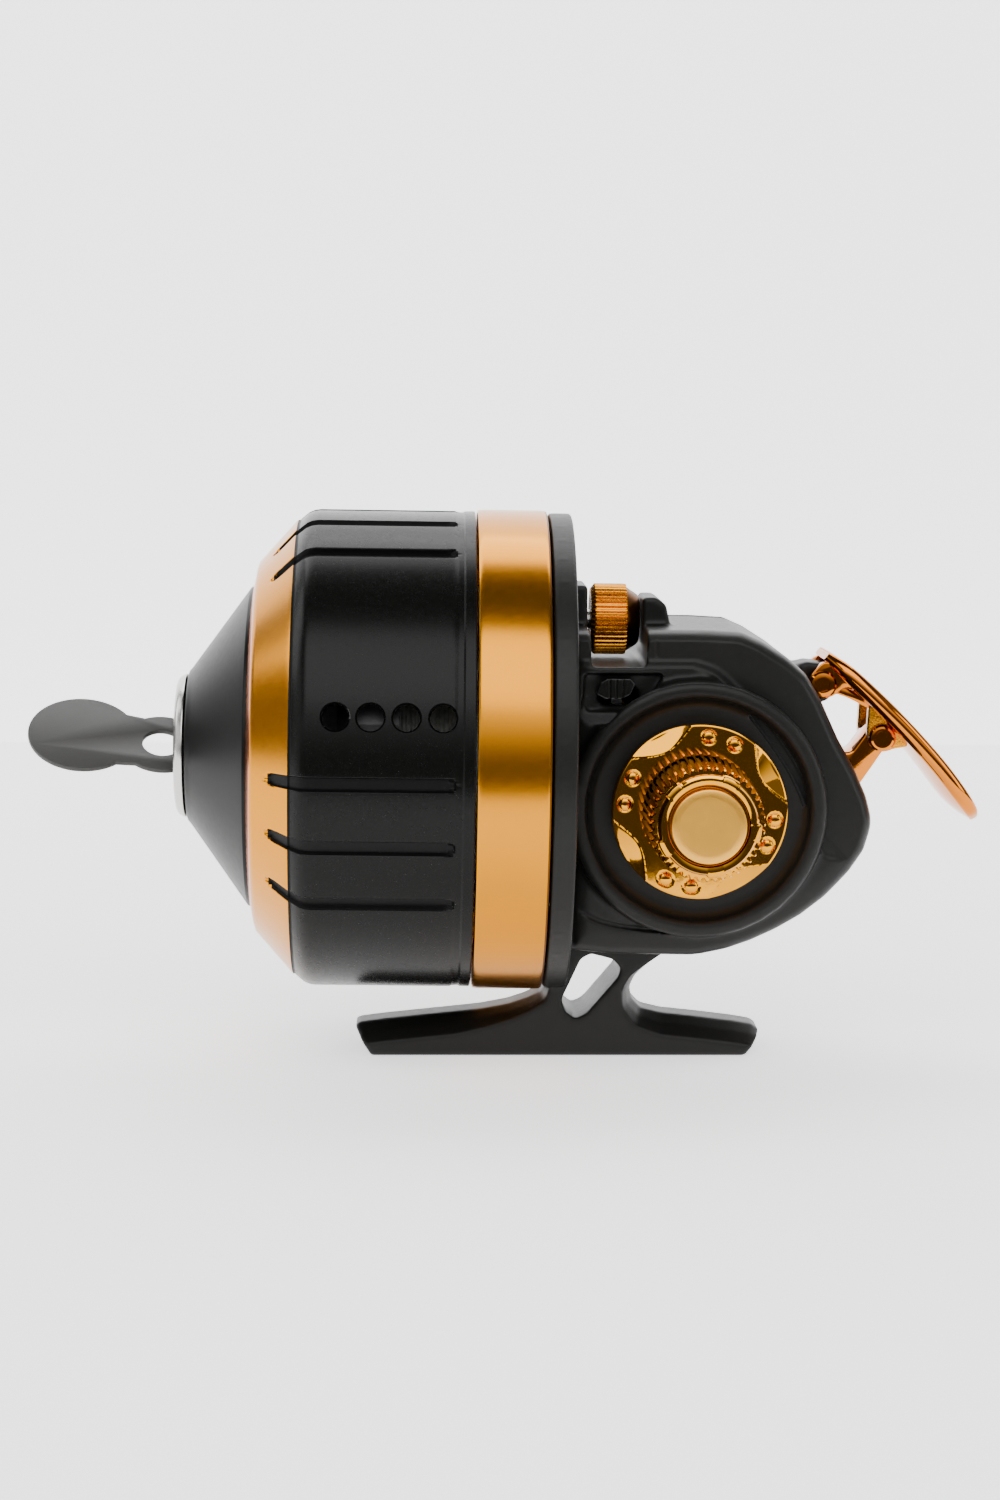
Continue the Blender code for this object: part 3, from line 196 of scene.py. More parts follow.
for slot_name, key in {
        "satin_black": "paint", "gloss_black": "gloss", "black_plastic": "rubber", "grey_plastic": "tab",
        "gold_anodised": "gold", "gold_chrome": "chrome_gold", "orange_gold_chrome": "chrome_orange",
        "polished_steel": "steel_plain", "brass": "brass", "cast_alloy": "alloy", "white_nylon": "nylon",
        "nylon_line": "line", "brown_felt": "felt"}.items():
    for node in NODES.values():
        for s in node.material_slots:
            if s.material and s.material.name.split(".")[0] == slot_name:
                s.material = M[key]
for s in NODES["spinner_head"].material_slots:
    s.material = M["alloy_dark"]


# ---------------------------------------------------------------- mesh helpers (millimetres until placed)

def reel(u, y, z):
    return (u * CT + z * ST, y, 47.25 - u * ST + z * CT)


def crank(y, x, z):
    return (CRANK[0] + x, y, CRANK[1] + z)


def mesh_object(name, verts, faces, face_mats=None, mats=()):
    me = bpy.data.meshes.new(name)
    me.from_pydata([tuple(v) for v in verts], [], faces)
    for k in mats:
        me.materials.append(M[k])
    if face_mats is not None:
        me.polygons.foreach_set("material_index", face_mats)
    me.validate()
    ob = bpy.data.objects.new(name, me)
    bpy.context.scene.collection.objects.link(ob)
    return ob


def fix_normals(ob):
    bm = bmesh.new()
    bm.from_mesh(ob.data)
    bmesh.ops.recalc_face_normals(bm, faces=bm.faces)
    bm.to_mesh(ob.data)
    bm.free()
    return ob


def apply_mods(ob):
    dg = bpy.context.evaluated_depsgraph_get()
    me = bpy.data.meshes.new_from_object(ob.evaluated_get(dg), preserve_all_data_layers=True, depsgraph=dg)
    ob.modifiers.clear()
    old = ob.data
    ob.data = me
    bpy.data.meshes.remove(old)
    return ob


def boolean(ob, cutters, operation="DIFFERENCE"):
    for c in cutters:
        mod = ob.modifiers.new("b", "BOOLEAN")
        mod.operation = operation
        mod.solver = "EXACT"
        mod.object = c
    apply_mods(ob)
    for c in cutters:
        bpy.data.objects.remove(c, do_unlink=True)
    return ob


def remesh(ob, voxel, smooth=3, factor=0.5, keep=1.0):
    r = ob.modifiers.new("r", "REMESH")
    r.mode = "VOXEL"
    r.voxel_size = voxel
    r.adaptivity = 0.0
    if smooth:
        s = ob.modifiers.new("s", "SMOOTH")
        s.iterations = smooth
        s.factor = factor
    if keep < 1.0:
        d = ob.modifiers.new("d", "DECIMATE")
        d.ratio = keep
    return apply_mods(ob)


def bevel(ob, width, segments=2, angle=30):
    b = ob.modifiers.new("v", "BEVEL")
    b.width = width
    b.segments = segments
    b.limit_method = "ANGLE"
    b.angle_limit = math.radians(angle)
    b.miter_outer = "MITER_SHARP"
    return apply_mods(ob)


def finish(ob, body, replaces=(), mat=None, sharp=32):
    """Places a millimetre mesh in the frame in metres, shades it and ties it to its CAD body."""
    ob.data.transform(Matrix.Scale(MM, 4))
    if mat:
        ob.data.materials.clear()
        ob.data.materials.append(M[mat])
    for p in ob.data.polygons:
        p.use_smooth = True
    ob.data.set_sharp_from_angle(angle=math.radians(sharp))
    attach(ob, body)
    if replaces:
        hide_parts(*replaces)
    return ob


def cad_copy(name, node):
    """The CAD node's own solid, welded, as the starting blank of its detailed piece, in millimetres."""
    me = NODES[node].data.copy()
    me.name = name
    me.materials.clear()
    ob = bpy.data.objects.new(name, me)
    bpy.context.scene.collection.objects.link(ob)
    me.transform(Matrix.Scale(1000.0, 4))
    bm = bmesh.new()
    bm.from_mesh(me)
    bmesh.ops.remove_doubles(bm, verts=bm.verts, dist=1e-4)
    bmesh.ops.recalc_face_normals(bm, faces=bm.faces)
    bm.to_mesh(me)
    bm.free()
    return ob


def lathe(name, profile, n, place, mats=(), pick=None, radius=None):
    """profile is a closed loop of (a, r); place(a, p, q) gives the point. radius(a, r, angle, i) may change r."""
    verts, faces, fm = [], [], []
    k = len(profile)
    for j in range(n):
        t = TAU * j / n
        for i, (a, r) in enumerate(profile):
            rr = radius(a, r, t, i) if radius else r
            verts.append(place(a, rr * math.cos(t), rr * math.sin(t)))
    for j in range(n):
        j2 = (j + 1) % n
        for i in range(k):
            i2 = (i + 1) % k
            faces.append((j * k + i, j * k + i2, j2 * k + i2, j2 * k + i))
            if pick:
                fm.append(pick(i, TAU * (j + 0.5) / n))
    ob = mesh_object(name, verts, faces, fm if pick else None, mats)
    bm = bmesh.new()
    bm.from_mesh(ob.data)
    bmesh.ops.remove_doubles(bm, verts=bm.verts, dist=1e-5)
    bmesh.ops.recalc_face_normals(bm, faces=bm.faces)
    bm.to_mesh(ob.data)
    bm.free()
    return ob


def dense(points, step):
    out = []
    for (a, b), (c, d) in zip(points, points[1:]):
        m = max(1, int(math.ceil(math.hypot(c - a, d - b) / step)))
        out += [(a + (c - a) * i / m, b + (d - b) * i / m) for i in range(m)]
    return out + [points[-1]]


def rounded(points, r, n=4, closed=False):
    """The path with its corners rounded by quadratic arcs."""
    out = []
    k = len(points)
    for i in range(k):
        if not closed and i in (0, k - 1):
            out.append(points[i])
            continue
        p0, p, p1 = Vector(points[i - 1]), Vector(points[i]), Vector(points[(i + 1) % k])
        d0, d1 = (p0 - p), (p1 - p)
        q = min(r, d0.length * 0.45, d1.length * 0.45)
        a, b = p + d0.normalized() * q, p + d1.normalized() * q
        for j in range(n + 1):
            t = j / n
            out.append(tuple((1 - t) ** 2 * a + 2 * t * (1 - t) * p + t * t * b))
    return out


def prism_y(name, outline, y0, y1):
    k = len(outline)
    verts = [(x, y0, z) for x, z in outline] + [(x, y1, z) for x, z in outline]
    faces = [tuple(range(k)), tuple(range(2 * k - 1, k - 1, -1))]
    faces += [(i, (i + 1) % k, (i + 1) % k + k, i + k) for i in range(k)]
    return fix_normals(mesh_object(name, verts, faces))


def disc_y(name, cx, cz, r, y0, y1, n=48, r1=None, phase=0.0):
    r1 = r if r1 is None else r1
    verts = [(cx + r * math.cos(TAU * i / n + phase), y0, cz + r * math.sin(TAU * i / n + phase)) for i in range(n)]
    verts += [(cx + r1 * math.cos(TAU * i / n + phase), y1, cz + r1 * math.sin(TAU * i / n + phase)) for i in range(n)]
    faces = [tuple(range(n)), tuple(range(2 * n - 1, n - 1, -1))]
    faces += [(i, (i + 1) % n, (i + 1) % n + n, i + n) for i in range(n)]
    return fix_normals(mesh_object(name, verts, faces))


def offset_path(path, d):
    out = []
    for i, p in enumerate(path):
        a = Vector(path[max(0, i - 1)])
        b = Vector(path[min(len(path) - 1, i + 1)])
        t = (b - a).normalized()
        out.append((p[0] - t.y * d, p[1] + t.x * d))
    return out


def strip_y(name, path, half, y0, y1):
    """A slot of constant width along a path, cut between y0 and y1."""
    left, right = offset_path(path, half), offset_path(path, -half)
    return prism_y(name, left + right[::-1], y0, y1)


def arc(cx, cz, r, a0, a1, n=24):
    return [(cx + r * math.cos(math.radians(a0 + (a1 - a0) * i / n)),
             cz + r * math.sin(math.radians(a0 + (a1 - a0) * i / n))) for i in range(n + 1)]


# ---------------------------------------------------------------- front cover

GROOVES = [math.radians(16.5 + 90 * k + d) for k in range(4) for d in (-15, 0, 15)]


def cover_place(a, p, q):
    # angle 0 points to the near side (-Y) and positive angles turn downwards
    return reel(a, -p, -q)


def groove_depth(u, r, t):
    deep = 0.0
    for g in GROOVES:
        d = (t - g + math.pi) % TAU - math.pi
        s = abs(d) * 36.0
        if s > 1.6:
            continue
        e = 0.95
        along = max(-43.6 + e - u, u + 16.2 + e, 0.0)
        dist = math.hypot(s, along) - e
        k = min(1.0, max(0.0, 0.5 - dist / 0.34))
        deep = max(deep, 0.8 * (k * k * (3 - 2 * k)))
    return deep


def cover_angles():
    out = set()
    for i in range(180):
        out.add(round(TAU * i / 180, 5))
    for g in GROOVES:
        for j in range(-17, 18):
            out.add(round((g + math.radians(j * 0.14)) % TAU, 5))
    res = []
    for a in sorted(out):
        if not res or a - res[-1] > 0.0011:
            res.append(a)
    return res


def front_cover():
    outer = [(-47.2, 25.3), (-46.6, 28.2), (-46.35, 28.9), (-45.9, 29.4), (-40.75, 35.1), (-40.55, 35.3),
             (-40.3, 35.25), (-40.05, 35.55), (-38.9, 36.5), (-38.1, 36.85), (-37.2, 37.0), (-16.4, 37.0),
             (-16.1, 36.85), (-15.2, 36.8), (-14.9, 36.97), (-13.5, 37.0), (-13.3, 36.85)]
    inner = [(-13.3, 35.4), (-38.2, 35.4), (-40.9, 33.6), (-45.4, 28.6), (-45.6, 25.3)]
    prof = dense(outer, 0.75) + inner
    n_out = len(prof) - len(inner)
    angs = cover_angles()
    verts, faces, fm = [], [], []
    k = len(prof)
    for t in angs:
        for i, (u, r) in enumerate(prof):
            rr = r - (groove_depth(u, r, t) if i < n_out and u > -44.6 else 0.0)
            verts.append(cover_place(u, rr * math.cos(t), rr * math.sin(t)))
    n = len(angs)
    for j in range(n):
        j2 = (j + 1) % n
        tm = (angs[j] + ((angs[j2] - angs[j]) % TAU) / 2)
        for i in range(k):
            i2 = (i + 1) % k
            faces.append((j * k + i, j * k + i2, j2 * k + i2, j2 * k + i))
            um, rm = (prof[i][0] + prof[i2][0]) / 2, (prof[i][1] + prof[i2][1]) / 2
            if i < n_out - 1:
                # faces in the grooves and in the small step groove take the darker groove black: painted shade
                if groove_depth(um, rm, tm) > 0.12:
                    fm.append(2)
                elif um < -46.3:
                    fm.append(3)
                elif um < -40.62:
                    fm.append(0)
                elif um < -40.1:
                    fm.append(2)
                else:
                    fm.append(1)
            else:
                fm.append(1)
    # material 3, the darker, redder gold edge on the lip at the nose cone, is painted shade at the join
    ob = mesh_object("front_cover_shell", verts, faces, fm, ("gold", "barrel_black", "groove_black_painted_shade", "gold_edge"))
    fix_normals(ob)
    cutters = []
    for ang in (-13.7, 166.3):
        for u in (-33.7, -28.6, -23.4, -18.1):
            t = math.radians(ang)
            d = Vector((0, -math.cos(t), -math.sin(t)))
            c = Vector(reel(u, 36 * d.y, 36 * d.z))
            a = Vector((d.x + d.z * ST, d.y, d.z * CT)).normalized()
            side = Vector((CT, 0, -ST))
            up = a.cross(side).normalized()
            rings = ((-4.0, 1.95), (0.45, 1.95), (0.95, 2.22), (3.0, 2.25))
            vs, fs = [], []
            m = 36
            for h, r in rings:
                for q in range(m):
                    w = TAU * q / m + 0.05
                    vs.append(c + a * h + (side * math.cos(w) + up * math.sin(w)) * r)
            for s in range(len(rings) - 1):
                fs += [(s * m + q, s * m + (q + 1) % m, (s + 1) * m + (q + 1) % m, (s + 1) * m + q) for q in range(m)]
            fs += [tuple(range(m))[::-1], tuple(range(3 * m, 4 * m))]
            cut = fix_normals(mesh_object("hole", vs, fs, [1] * len(fs),
                                          ("gold", "barrel_black", "groove_black_painted_shade", "gold_edge")))
            cutters.append(cut)
    boolean(ob, cutters)
    return finish(ob, "cover", ("front_cover",), sharp=28)


front_cover()


def cover_band():
    outer = [(-13.0, 36.7), (-12.95, 37.05), (-12.7, 37.2), (-12.2, 37.25), (-3.1, 37.25), (-2.6, 37.2), (-2.35, 37.05),
             (-2.3, 36.8), (-2.3, 34.6), (-13.0, 34.6)]

    # the front end face takes the darker, redder gold edge and the back edges the shadow gold: painted shade where the
    # band meets the cover and the flange
    def pick(i, t):
        return 1 if i == 0 else (2 if i in (5, 6) else 0)
    ob = lathe("cover_band_ring", outer, 240, cover_place, ("gold", "gold_edge", "gold_dark"), pick)
    return finish(ob, "cover", ("cover_band",), sharp=40)


cover_band()


def nose():
    prof = [(-57.3, 11.5), (-57.2, 11.8), (-56.9, 12.1)] + dense([(-56.9, 12.1), (-47.9, 24.6)], 1.2)[1:] + [
        (-47.75, 24.8), (-47.5, 24.9), (-45.0, 24.9), (-45.0, 23.0), (-47.9, 22.0), (-55.6, 11.3), (-55.6, 10.8),
        (-57.3, 10.8)]
    ob = lathe("nose_cone_shell", prof, 200, cover_place)
    finish(ob, "cover", ("nose_cone",), "cone_black", sharp=30)
    prof = rounded([(-59.1, 9.0), (-59.1, 10.1), (-58.7, 10.75), (-57.6, 11.3), (-57.6, 10.5), (-53.6, 10.5),
                    (-53.6, 8.4), (-58.5, 8.4)], 0.5, 5, closed=True)
    ob = lathe("nose_ring_guide", prof, 160, cover_place)
    finish(ob, "cover", ("nose_ring",), "steel", sharp=50)


nose()


def line_tab():
    """A flat grey tab: a disc joined to an eyelet ring, with rounded edges and small fillets at the waist."""
    disc_c, disc_r, eye_r, hole_r = (-12.4, 0.0), 8.4, 6.4, 3.0
    d = 12.4
    cosb = (d * d + disc_r ** 2 - eye_r ** 2) / (2 * d * disc_r)
    b = math.degrees(math.acos(cosb))
    cosa = (d * d + eye_r ** 2 - disc_r ** 2) / (2 * d * eye_r)
    a = math.degrees(math.acos(cosa))
    f = 15.0
    outline = arc(disc_c[0], 0, disc_r, b + f, 360 - b - f, 96)
    outline += arc(0, 0, eye_r, -180 + a + f * 1.3, 180 - a - f * 1.3, 72)
    k = len(outline)
    hole = [(hole_r * math.cos(TAU * i / 48), hole_r * math.sin(TAU * i / 48)) for i in range(48)]
    t = 0.4
    ob = mesh_object("tab_blank", [(x, y, s) for s in (-t, t) for x, y in outline],
                     [tuple(range(k)), tuple(range(2 * k - 1, k - 1, -1))]
                     + [(i, (i + 1) % k, (i + 1) % k + k, i + k) for i in range(k)])
    fix_normals(ob)
    cut = mesh_object("eye", [(x, y, s) for s in (-2, 2) for x, y in hole],
                      [tuple(range(48)), tuple(range(95, 47, -1))]
                      + [(i, (i + 1) % 48, (i + 1) % 48 + 48, i + 48) for i in range(48)])
    fix_normals(cut)
    boolean(ob, [cut])
    bevel(ob, 0.16, 2, 40)
    ob.name = ob.data.name = "line_tab_plate"
    ob.data.transform(Matrix.Translation((-61.6, 0, 47.9)) @ Euler((math.radians(33), math.radians(7), 0)).to_matrix().to_4x4())
    finish(ob, "tab", ("line_tab",), "tab", sharp=40)
    return ob


TAB = line_tab()


# ---------------------------------------------------------------- moulded frame

def smooth_line(pts, per=6):
    out = []
    for i in range(len(pts) - 1):
        p0, p1 = Vector(pts[max(0, i - 1)]), Vector(pts[i])
        p2, p3 = Vector(pts[i + 1]), Vector(pts[min(len(pts) - 1, i + 2)])
        for j in range(per):
            t = j / per
            out.append(tuple(0.5 * ((2 * p1) + (p2 - p0) * t + (2 * p0 - 5 * p1 + 4 * p2 - p3) * t * t
                                    + (3 * p1 - p0 - 3 * p2 + p3) * t ** 3)))
    out.append(tuple(pts[-1]))
    return out


def frame_body():
    ob = cad_copy("main_frame_moulding", "main_frame")
    # sloped shoulders of the foot and the swept flanks of the stem
    left = [(-33.5, 3.6), (-30.7, 4.5), (-27.0, 5.0), (-19.4, 5.8), (-11.8, 6.6), (-7.5, 7.4), (-4.7, 8.3), (-2.4, 9.3),
            (-1.5, 11.0), (-0.6, 14.0)]
    right = [(18.6, 17.6), (16.1, 15.6), (14.3, 13.9), (12.4, 12.0), (11.6, 10.2), (11.9, 8.4), (13.4, 6.8), (16.7, 6.0), (22.4, 5.4), (28.1, 4.7), (31.0, 4.2),
             (34.0, 2.9)]
    for path, w0, w1 in ((left, 2.6, 0.0), (right, 0.0, 2.6)):
        path = dense(path, 1.2)
        inner, outer = [], []
        m = len(path)
        for i in range(m):
            a, b = Vector(path[max(0, i - 1)]), Vector(path[min(m - 1, i + 1)])
            t = (b - a).normalized()
            nrm = Vector((-t.y, t.x))
            w = w0 + (w1 - w0) * i / (m - 1)
            w = min(2.6, max(0.02, w * 1.9))
            inner.append(Vector(path[i]) - nrm * w)
            outer.append(Vector(path[i]) + nrm * 0.5)
        for sgn in (-1, 1):
            vs, fs = [], []
            for i in range(m):
                p = Vector(path[i])
                vs += [(outer[i].x, sgn * 8.2, outer[i].y), (inner[i].x, sgn * 8.2, inner[i].y),
                       (inner[i].x, sgn * 7.15, inner[i].y),
                       ((p.x * 1.1 + inner[i].x * 0.9) / 2, sgn * 5.0, (p.y * 1.1 + inner[i].y * 0.9) / 2),
                       (p.x + (p.x - inner[i].x) * 0.02, sgn * 2.4, p.y + (p.y - inner[i].y) * 0.02),
                       (outer[i].x, sgn * 2.0, outer[i].y)]
            c = 6
            for i in range(m - 1):
                fs += [(i * c + j, i * c + (j + 1) % c, (i + 1) * c + (j + 1) % c, (i + 1) * c + j) for j in range(c)]
            fs += [tuple(range(c)), tuple(range((m - 1) * c, m * c))[::-1]]
            boolean(ob, [fix_normals(mesh_object("flank", vs, fs))])
    # first pass: the moulded shell is rounded off, the foot and the flange less so
    voxel = 0.34
    remesh(ob, voxel, 4, 0.5)
    vg = ob.vertex_groups.new(name="shell")
    for v in ob.data.vertices:
        x, y, z = v.co
        w = min(1.0, max(0.0, (x - 4.0) / 3.0)) * min(1.0, max(0.0, (z - 18.5) / 3.0))
        if z > 58 and x < 20:
            w *= 0.25
        if w > 0:
            vg.add([v.index], w, "REPLACE")
    sm = ob.modifiers.new("s", "SMOOTH")
    sm.factor = 0.5
    sm.iterations = 16
    sm.vertex_group = "shell"
    apply_mods(ob)
    ob.vertex_groups.clear()
    flange = lathe("flange", rounded([(-2.0, 35.9), (-2.0, 36.86), (1.5, 36.86), (1.5, 35.9)], 1.3, 5)
                   + [(1.4, 34.4), (-1.9, 34.4)], 240, cover_place)
    boolean(ob, [flange], "UNION")
    cuts = []
    # the deck outside the two step lines sits lower than the raised face round the crank
    line1 = smooth_line([(20.0, 62.8), (24.0, 61.2), (28.6, 56.4), (34.4, 48.6), (37.6, 42.6), (39.4, 36.0)])
    line2 = smooth_line([(19.6, 61.75), (23.2, 60.2), (27.5, 55.4), (33.1, 47.8), (36.2, 42.0), (37.8, 36.2)])
    far = [(46, 30), (56, 30), (56, 74), (1.9, 74)]
    cuts.append(prism_y("deck1", [(1.9, 62.8)] + line1 + far, -19.0, -17.0))
    cuts.append(prism_y("deck2", [(1.9, 61.75)] + line2 + [(40.0, 33)] + far[1:], -19.0, -17.25))
    # pocket and ramp round the switch
    pocket = rounded([(3.2, 60.9), (15.4, 60.9), (13.2, 57.4), (11.4, 55.6), (3.2, 55.6)], 0.9, 4, closed=True)
    cuts.append(prism_y("pocket", pocket, -19.0, -16.3))
    ramp = [(3.0, 57.4), (9.4, 57.4), (8.0, 53.2), (2.4, 52.8)]
    k = 4
    verts = [(x, -20.0, z) for x, z in ramp] + [(ramp[0][0], -16.2, ramp[0][1]), (ramp[1][0], -16.2, ramp[1][1]),
                                               (ramp[2][0], -17.45, ramp[2][1]), (ramp[3][0], -17.45, ramp[3][1])]
    faces = [tuple(range(k)), tuple(range(2 * k - 1, k - 1, -1))]
    faces += [(i, (i + 1) % k, (i + 1) % k + k, i + k) for i in range(k)]
    cuts.append(fix_normals(mesh_object("ramp", verts, faces)))
    # index line beside the drag wheel
    cuts.append(prism_y("index", [(13.85, 63.4), (14.4, 63.4), (14.4, 66.2), (13.85, 66.2)], -19, -16.75))
    # crease under the body where it meets the stem
    crease = smooth_line([(1.9, 25.4), (6.4, 23.1), (13.0, 22.0), (21.5, 21.6)])
    cuts.append(strip_y("crease", crease, 0.35, -19, -17.05))
    boolean(ob, cuts)
    remesh(ob, 0.25, 2, 0.5, keep=0.45)
    return finish(ob, "frame", ("main_frame",), "paint", sharp=60)


frame_body()


def soft_copy(name, node, body, mat, voxel=0.25, smooth=4, extra=None, keep=0.6, join=None, sharp=60):
    ob = cad_copy(name, node)
    if join:
        boolean(ob, join, "UNION")
    if extra:
        boolean(ob, extra)
    remesh(ob, voxel, smooth, 0.5, keep)
    return finish(ob, body, (node,), mat, sharp=sharp)


# side cover
soft_copy("side_cover_moulding", "side_cover", "frame", "paint", 0.26, 3, keep=0.5)

# screws with crossed recesses
for i, (x, z) in enumerate(((33.0, 59.3), (40.3, 33.2), (8.2, 22.8), (6.2, 57.1)), 1):
    ob = cad_copy("screw_%d" % i, "side_cover_screw_%d" % i)
    for turn in (0.3 * i, 0.3 * i + math.pi / 2):
        c, s = math.cos(turn), math.sin(turn)
        o = [(x + c * a - s * b, z + s * a + c * b) for a, b in ((-1.5, -0.27), (1.5, -0.27), (1.5, 0.27), (-1.5, 0.27))]
        boolean(ob, [prism_y("cross", o, 16.3 + 0.01 * (turn > 1.5), 19.0)])
    bevel(ob, 0.12, 2, 35)
    finish(ob, "frame", ("side_cover_screw_%d" % i,), "steel_plain", sharp=30)


# ---------------------------------------------------------------- crank cap on the near side

def cap_place(a, p, q):
    return crank(a, p, q)


def cap_flange():
    """Mirror flange with four lens-shaped scoops at the rim and eight domed rivets in ring grooves."""
    n, m = 360, 50
    r_in, r_out = 8.6, 13.2
    y_face, y_back = -22.0, -19.3
    scoops = [math.radians(29.2 + 90 * k) for k in range(4)]
    rivets = [(11.3 * math.cos(math.radians(a)), 11.3 * math.sin(math.radians(a)))
              for k in range(4) for a in (73.7 + 90 * k - 10.3, 73.7 + 90 * k + 10.3)]
    prof_r = [r_in + (r_out - 0.25 - r_in) * i / m for i in range(m + 1)]

    def height(x, z):
        r = math.hypot(x, z)
        t = math.atan2(z, x)
        h = 0.0
        for s in scoops:
            d = (t - s + math.pi) % TAU - math.pi
            if abs(d) < 0.5:
                # lens between the rim and an arc bowed inwards
                edge = 10.35 + 2.85 * (d / 0.41) ** 2
                k = r - edge
                if k > 0:
                    h = max(h, min(1.15, 0.16 + 0.42 * k) if k > 0.08 else 2.0 * k)
        for x0, z0 in rivets:
            q = math.hypot(x - x0, z - z0)
            if 0.8 < q < 1.22:
                h = max(h, 0.16 * (1 - abs(q - 1.01) / 0.21))
        return h

    verts, faces = [], []
    k = m + 1
    for j in range(n):
        t = TAU * j / n
        for r in prof_r:
            x, z = r * math.cos(t), r * math.sin(t)
            verts.append(crank(max(y_face + height(x, z), y_face), x, z))
    extra = [(y_face + 0.10, r_out - 0.06), (y_face + 0.3, r_out), (y_back, r_out), (y_back, r_in)]
    base = len(verts)
    for j in range(n):
        t = TAU * j / n
        for y, r in extra:
            x, z = r * math.cos(t), r * math.sin(t)
            if y < y_face + 0.5:
                y = max(y, y_face + min(1.9, height(x * 0.985, z * 0.985) * 1.02 + (y - y_face)))
            verts.append(crank(y, x, z))
    e = len(extra)
    for j in range(n):
        j2 = (j + 1) % n
        for i in range(m):
            faces.append((j * k + i, j * k + i + 1, j2 * k + i + 1, j2 * k + i))
        faces.append((j * k + m, base + j * e, base + j2 * e, j2 * k + m))
        for i in range(e - 1):
            faces.append((base + j * e + i, base + j * e + i + 1, base + j2 * e + i + 1, base + j2 * e + i))
        faces.append((base + j * e + e - 1, j * k, j2 * k, base + j2 * e + e - 1))
    ob = fix_normals(mesh_object("cap_flange_chromed", verts, faces))
    finish(ob, "crank", ("cap_flange",), "chrome_gold", sharp=38)
    verts, faces = [], []
    for x0, z0 in rivets:
        b0 = len(verts)
        rings = ((-21.7, 0.92), (-22.02, 0.92), (-22.10, 0.84), (-22.22, 0.62), (-22.27, 0.36), (-22.28, 0.14))
        for y, r in rings:
            for q in range(28):
                a = TAU * q / 28
                verts.append(crank(y, x0 + r * math.cos(a), z0 + r * math.sin(a)))
        for k2 in range(len(rings) - 1):
            faces += [(b0 + k2 * 28 + q, b0 + k2 * 28 + (q + 1) % 28, b0 + (k2 + 1) * 28 + (q + 1) % 28,
                       b0 + (k2 + 1) * 28 + q) for q in range(28)]
        faces += [tuple(range(b0, b0 + 28)), tuple(range(b0 + 140, b0 + 168))[::-1]]
    ob = fix_normals(mesh_object("cap_rivets", verts, faces))
    finish(ob, "crank", (), "chrome_gold", sharp=60)


cap_flange()


def cap_knob():
    prof = [(-22.3, 8.3), (-22.3, 8.75), (-22.6, 8.9), (-34.2, 8.5), (-34.7, 8.42), (-35.0, 8.2), (-35.02, 7.45),
            (-35.4, 7.4), (-35.5, 7.3), (-36.3, 7.12), (-36.5, 6.95), (-36.5, 6.5), (-36.4, 6.1), (-35.9, 5.92),
            (-35.5, 5.9), (-35.5, 3.2), (-22.3, 3.2)]
    teeth = 44

    def radius(a, r, t, i):
        if 1 <= i <= 5:
            w = 0.5 + 0.5 * math.cos(teeth * t)
            w = min(1.0, max(0.0, (w - 0.28) * 2.2))
            return r - (0.62 if i not in (1, 5) else 0.45) * (1 - w)
        if 7 <= i <= 11:
            best = 0.0
            for k in range(5):
                c = math.radians(-(8.5 + 72 * k))
                d = abs((t - c + math.pi) % TAU - math.pi)
                best = max(best, min(1.0, max(0.0, (0.20 - d) / 0.05)))
            return r + 0.42 * best * (1.0 if i < 10 else 0.4)
        return r

    def pick(i, t):
        if 1 <= i <= 4:
            w = 0.5 + 0.5 * math.cos(teeth * t)
            return 1 if w < 0.28 else 0
        if i in (5, 6, 7):
            return 2
        return 0
    ob = lathe("cap_knob_knurled", prof, teeth * 8, cap_place, ("chrome_gold", "gold_recess", "chrome_gold"), pick, radius)
    finish(ob, "crank", ("cap_knob",), sharp=35)
    prof = [(-35.8, 5.5), (-36.9, 5.5), (-37.08, 5.42), (-37.2, 5.2), (-37.2, 4.2), (-37.17, 2.0), (-37.16, 0.4),
            (-37.16, 0.001), (-35.8, 0.001)]
    ob = lathe("cap_disc_plate", prof, 96, cap_place)
    finish(ob, "crank", ("cap_disc",), "disc_gold", sharp=35)


cap_knob()


# ---------------------------------------------------------------- thumb lever

def smooth_path(pts, per=5):
    out = []
    for i in range(len(pts) - 1):
        p0, p1 = Vector(pts[max(0, i - 1)]), Vector(pts[i])
        p2, p3 = Vector(pts[i + 1]), Vector(pts[min(len(pts) - 1, i + 2)])
        for j in range(per):
            t = j / per
            out.append(0.5 * ((2 * p1) + (p2 - p0) * t + (2 * p0 - 5 * p1 + 4 * p2 - p3) * t * t
                              + (3 * p1 - p0 - 3 * p2 + p3) * t ** 3))
    out.append(Vector(pts[-1]))
    return out


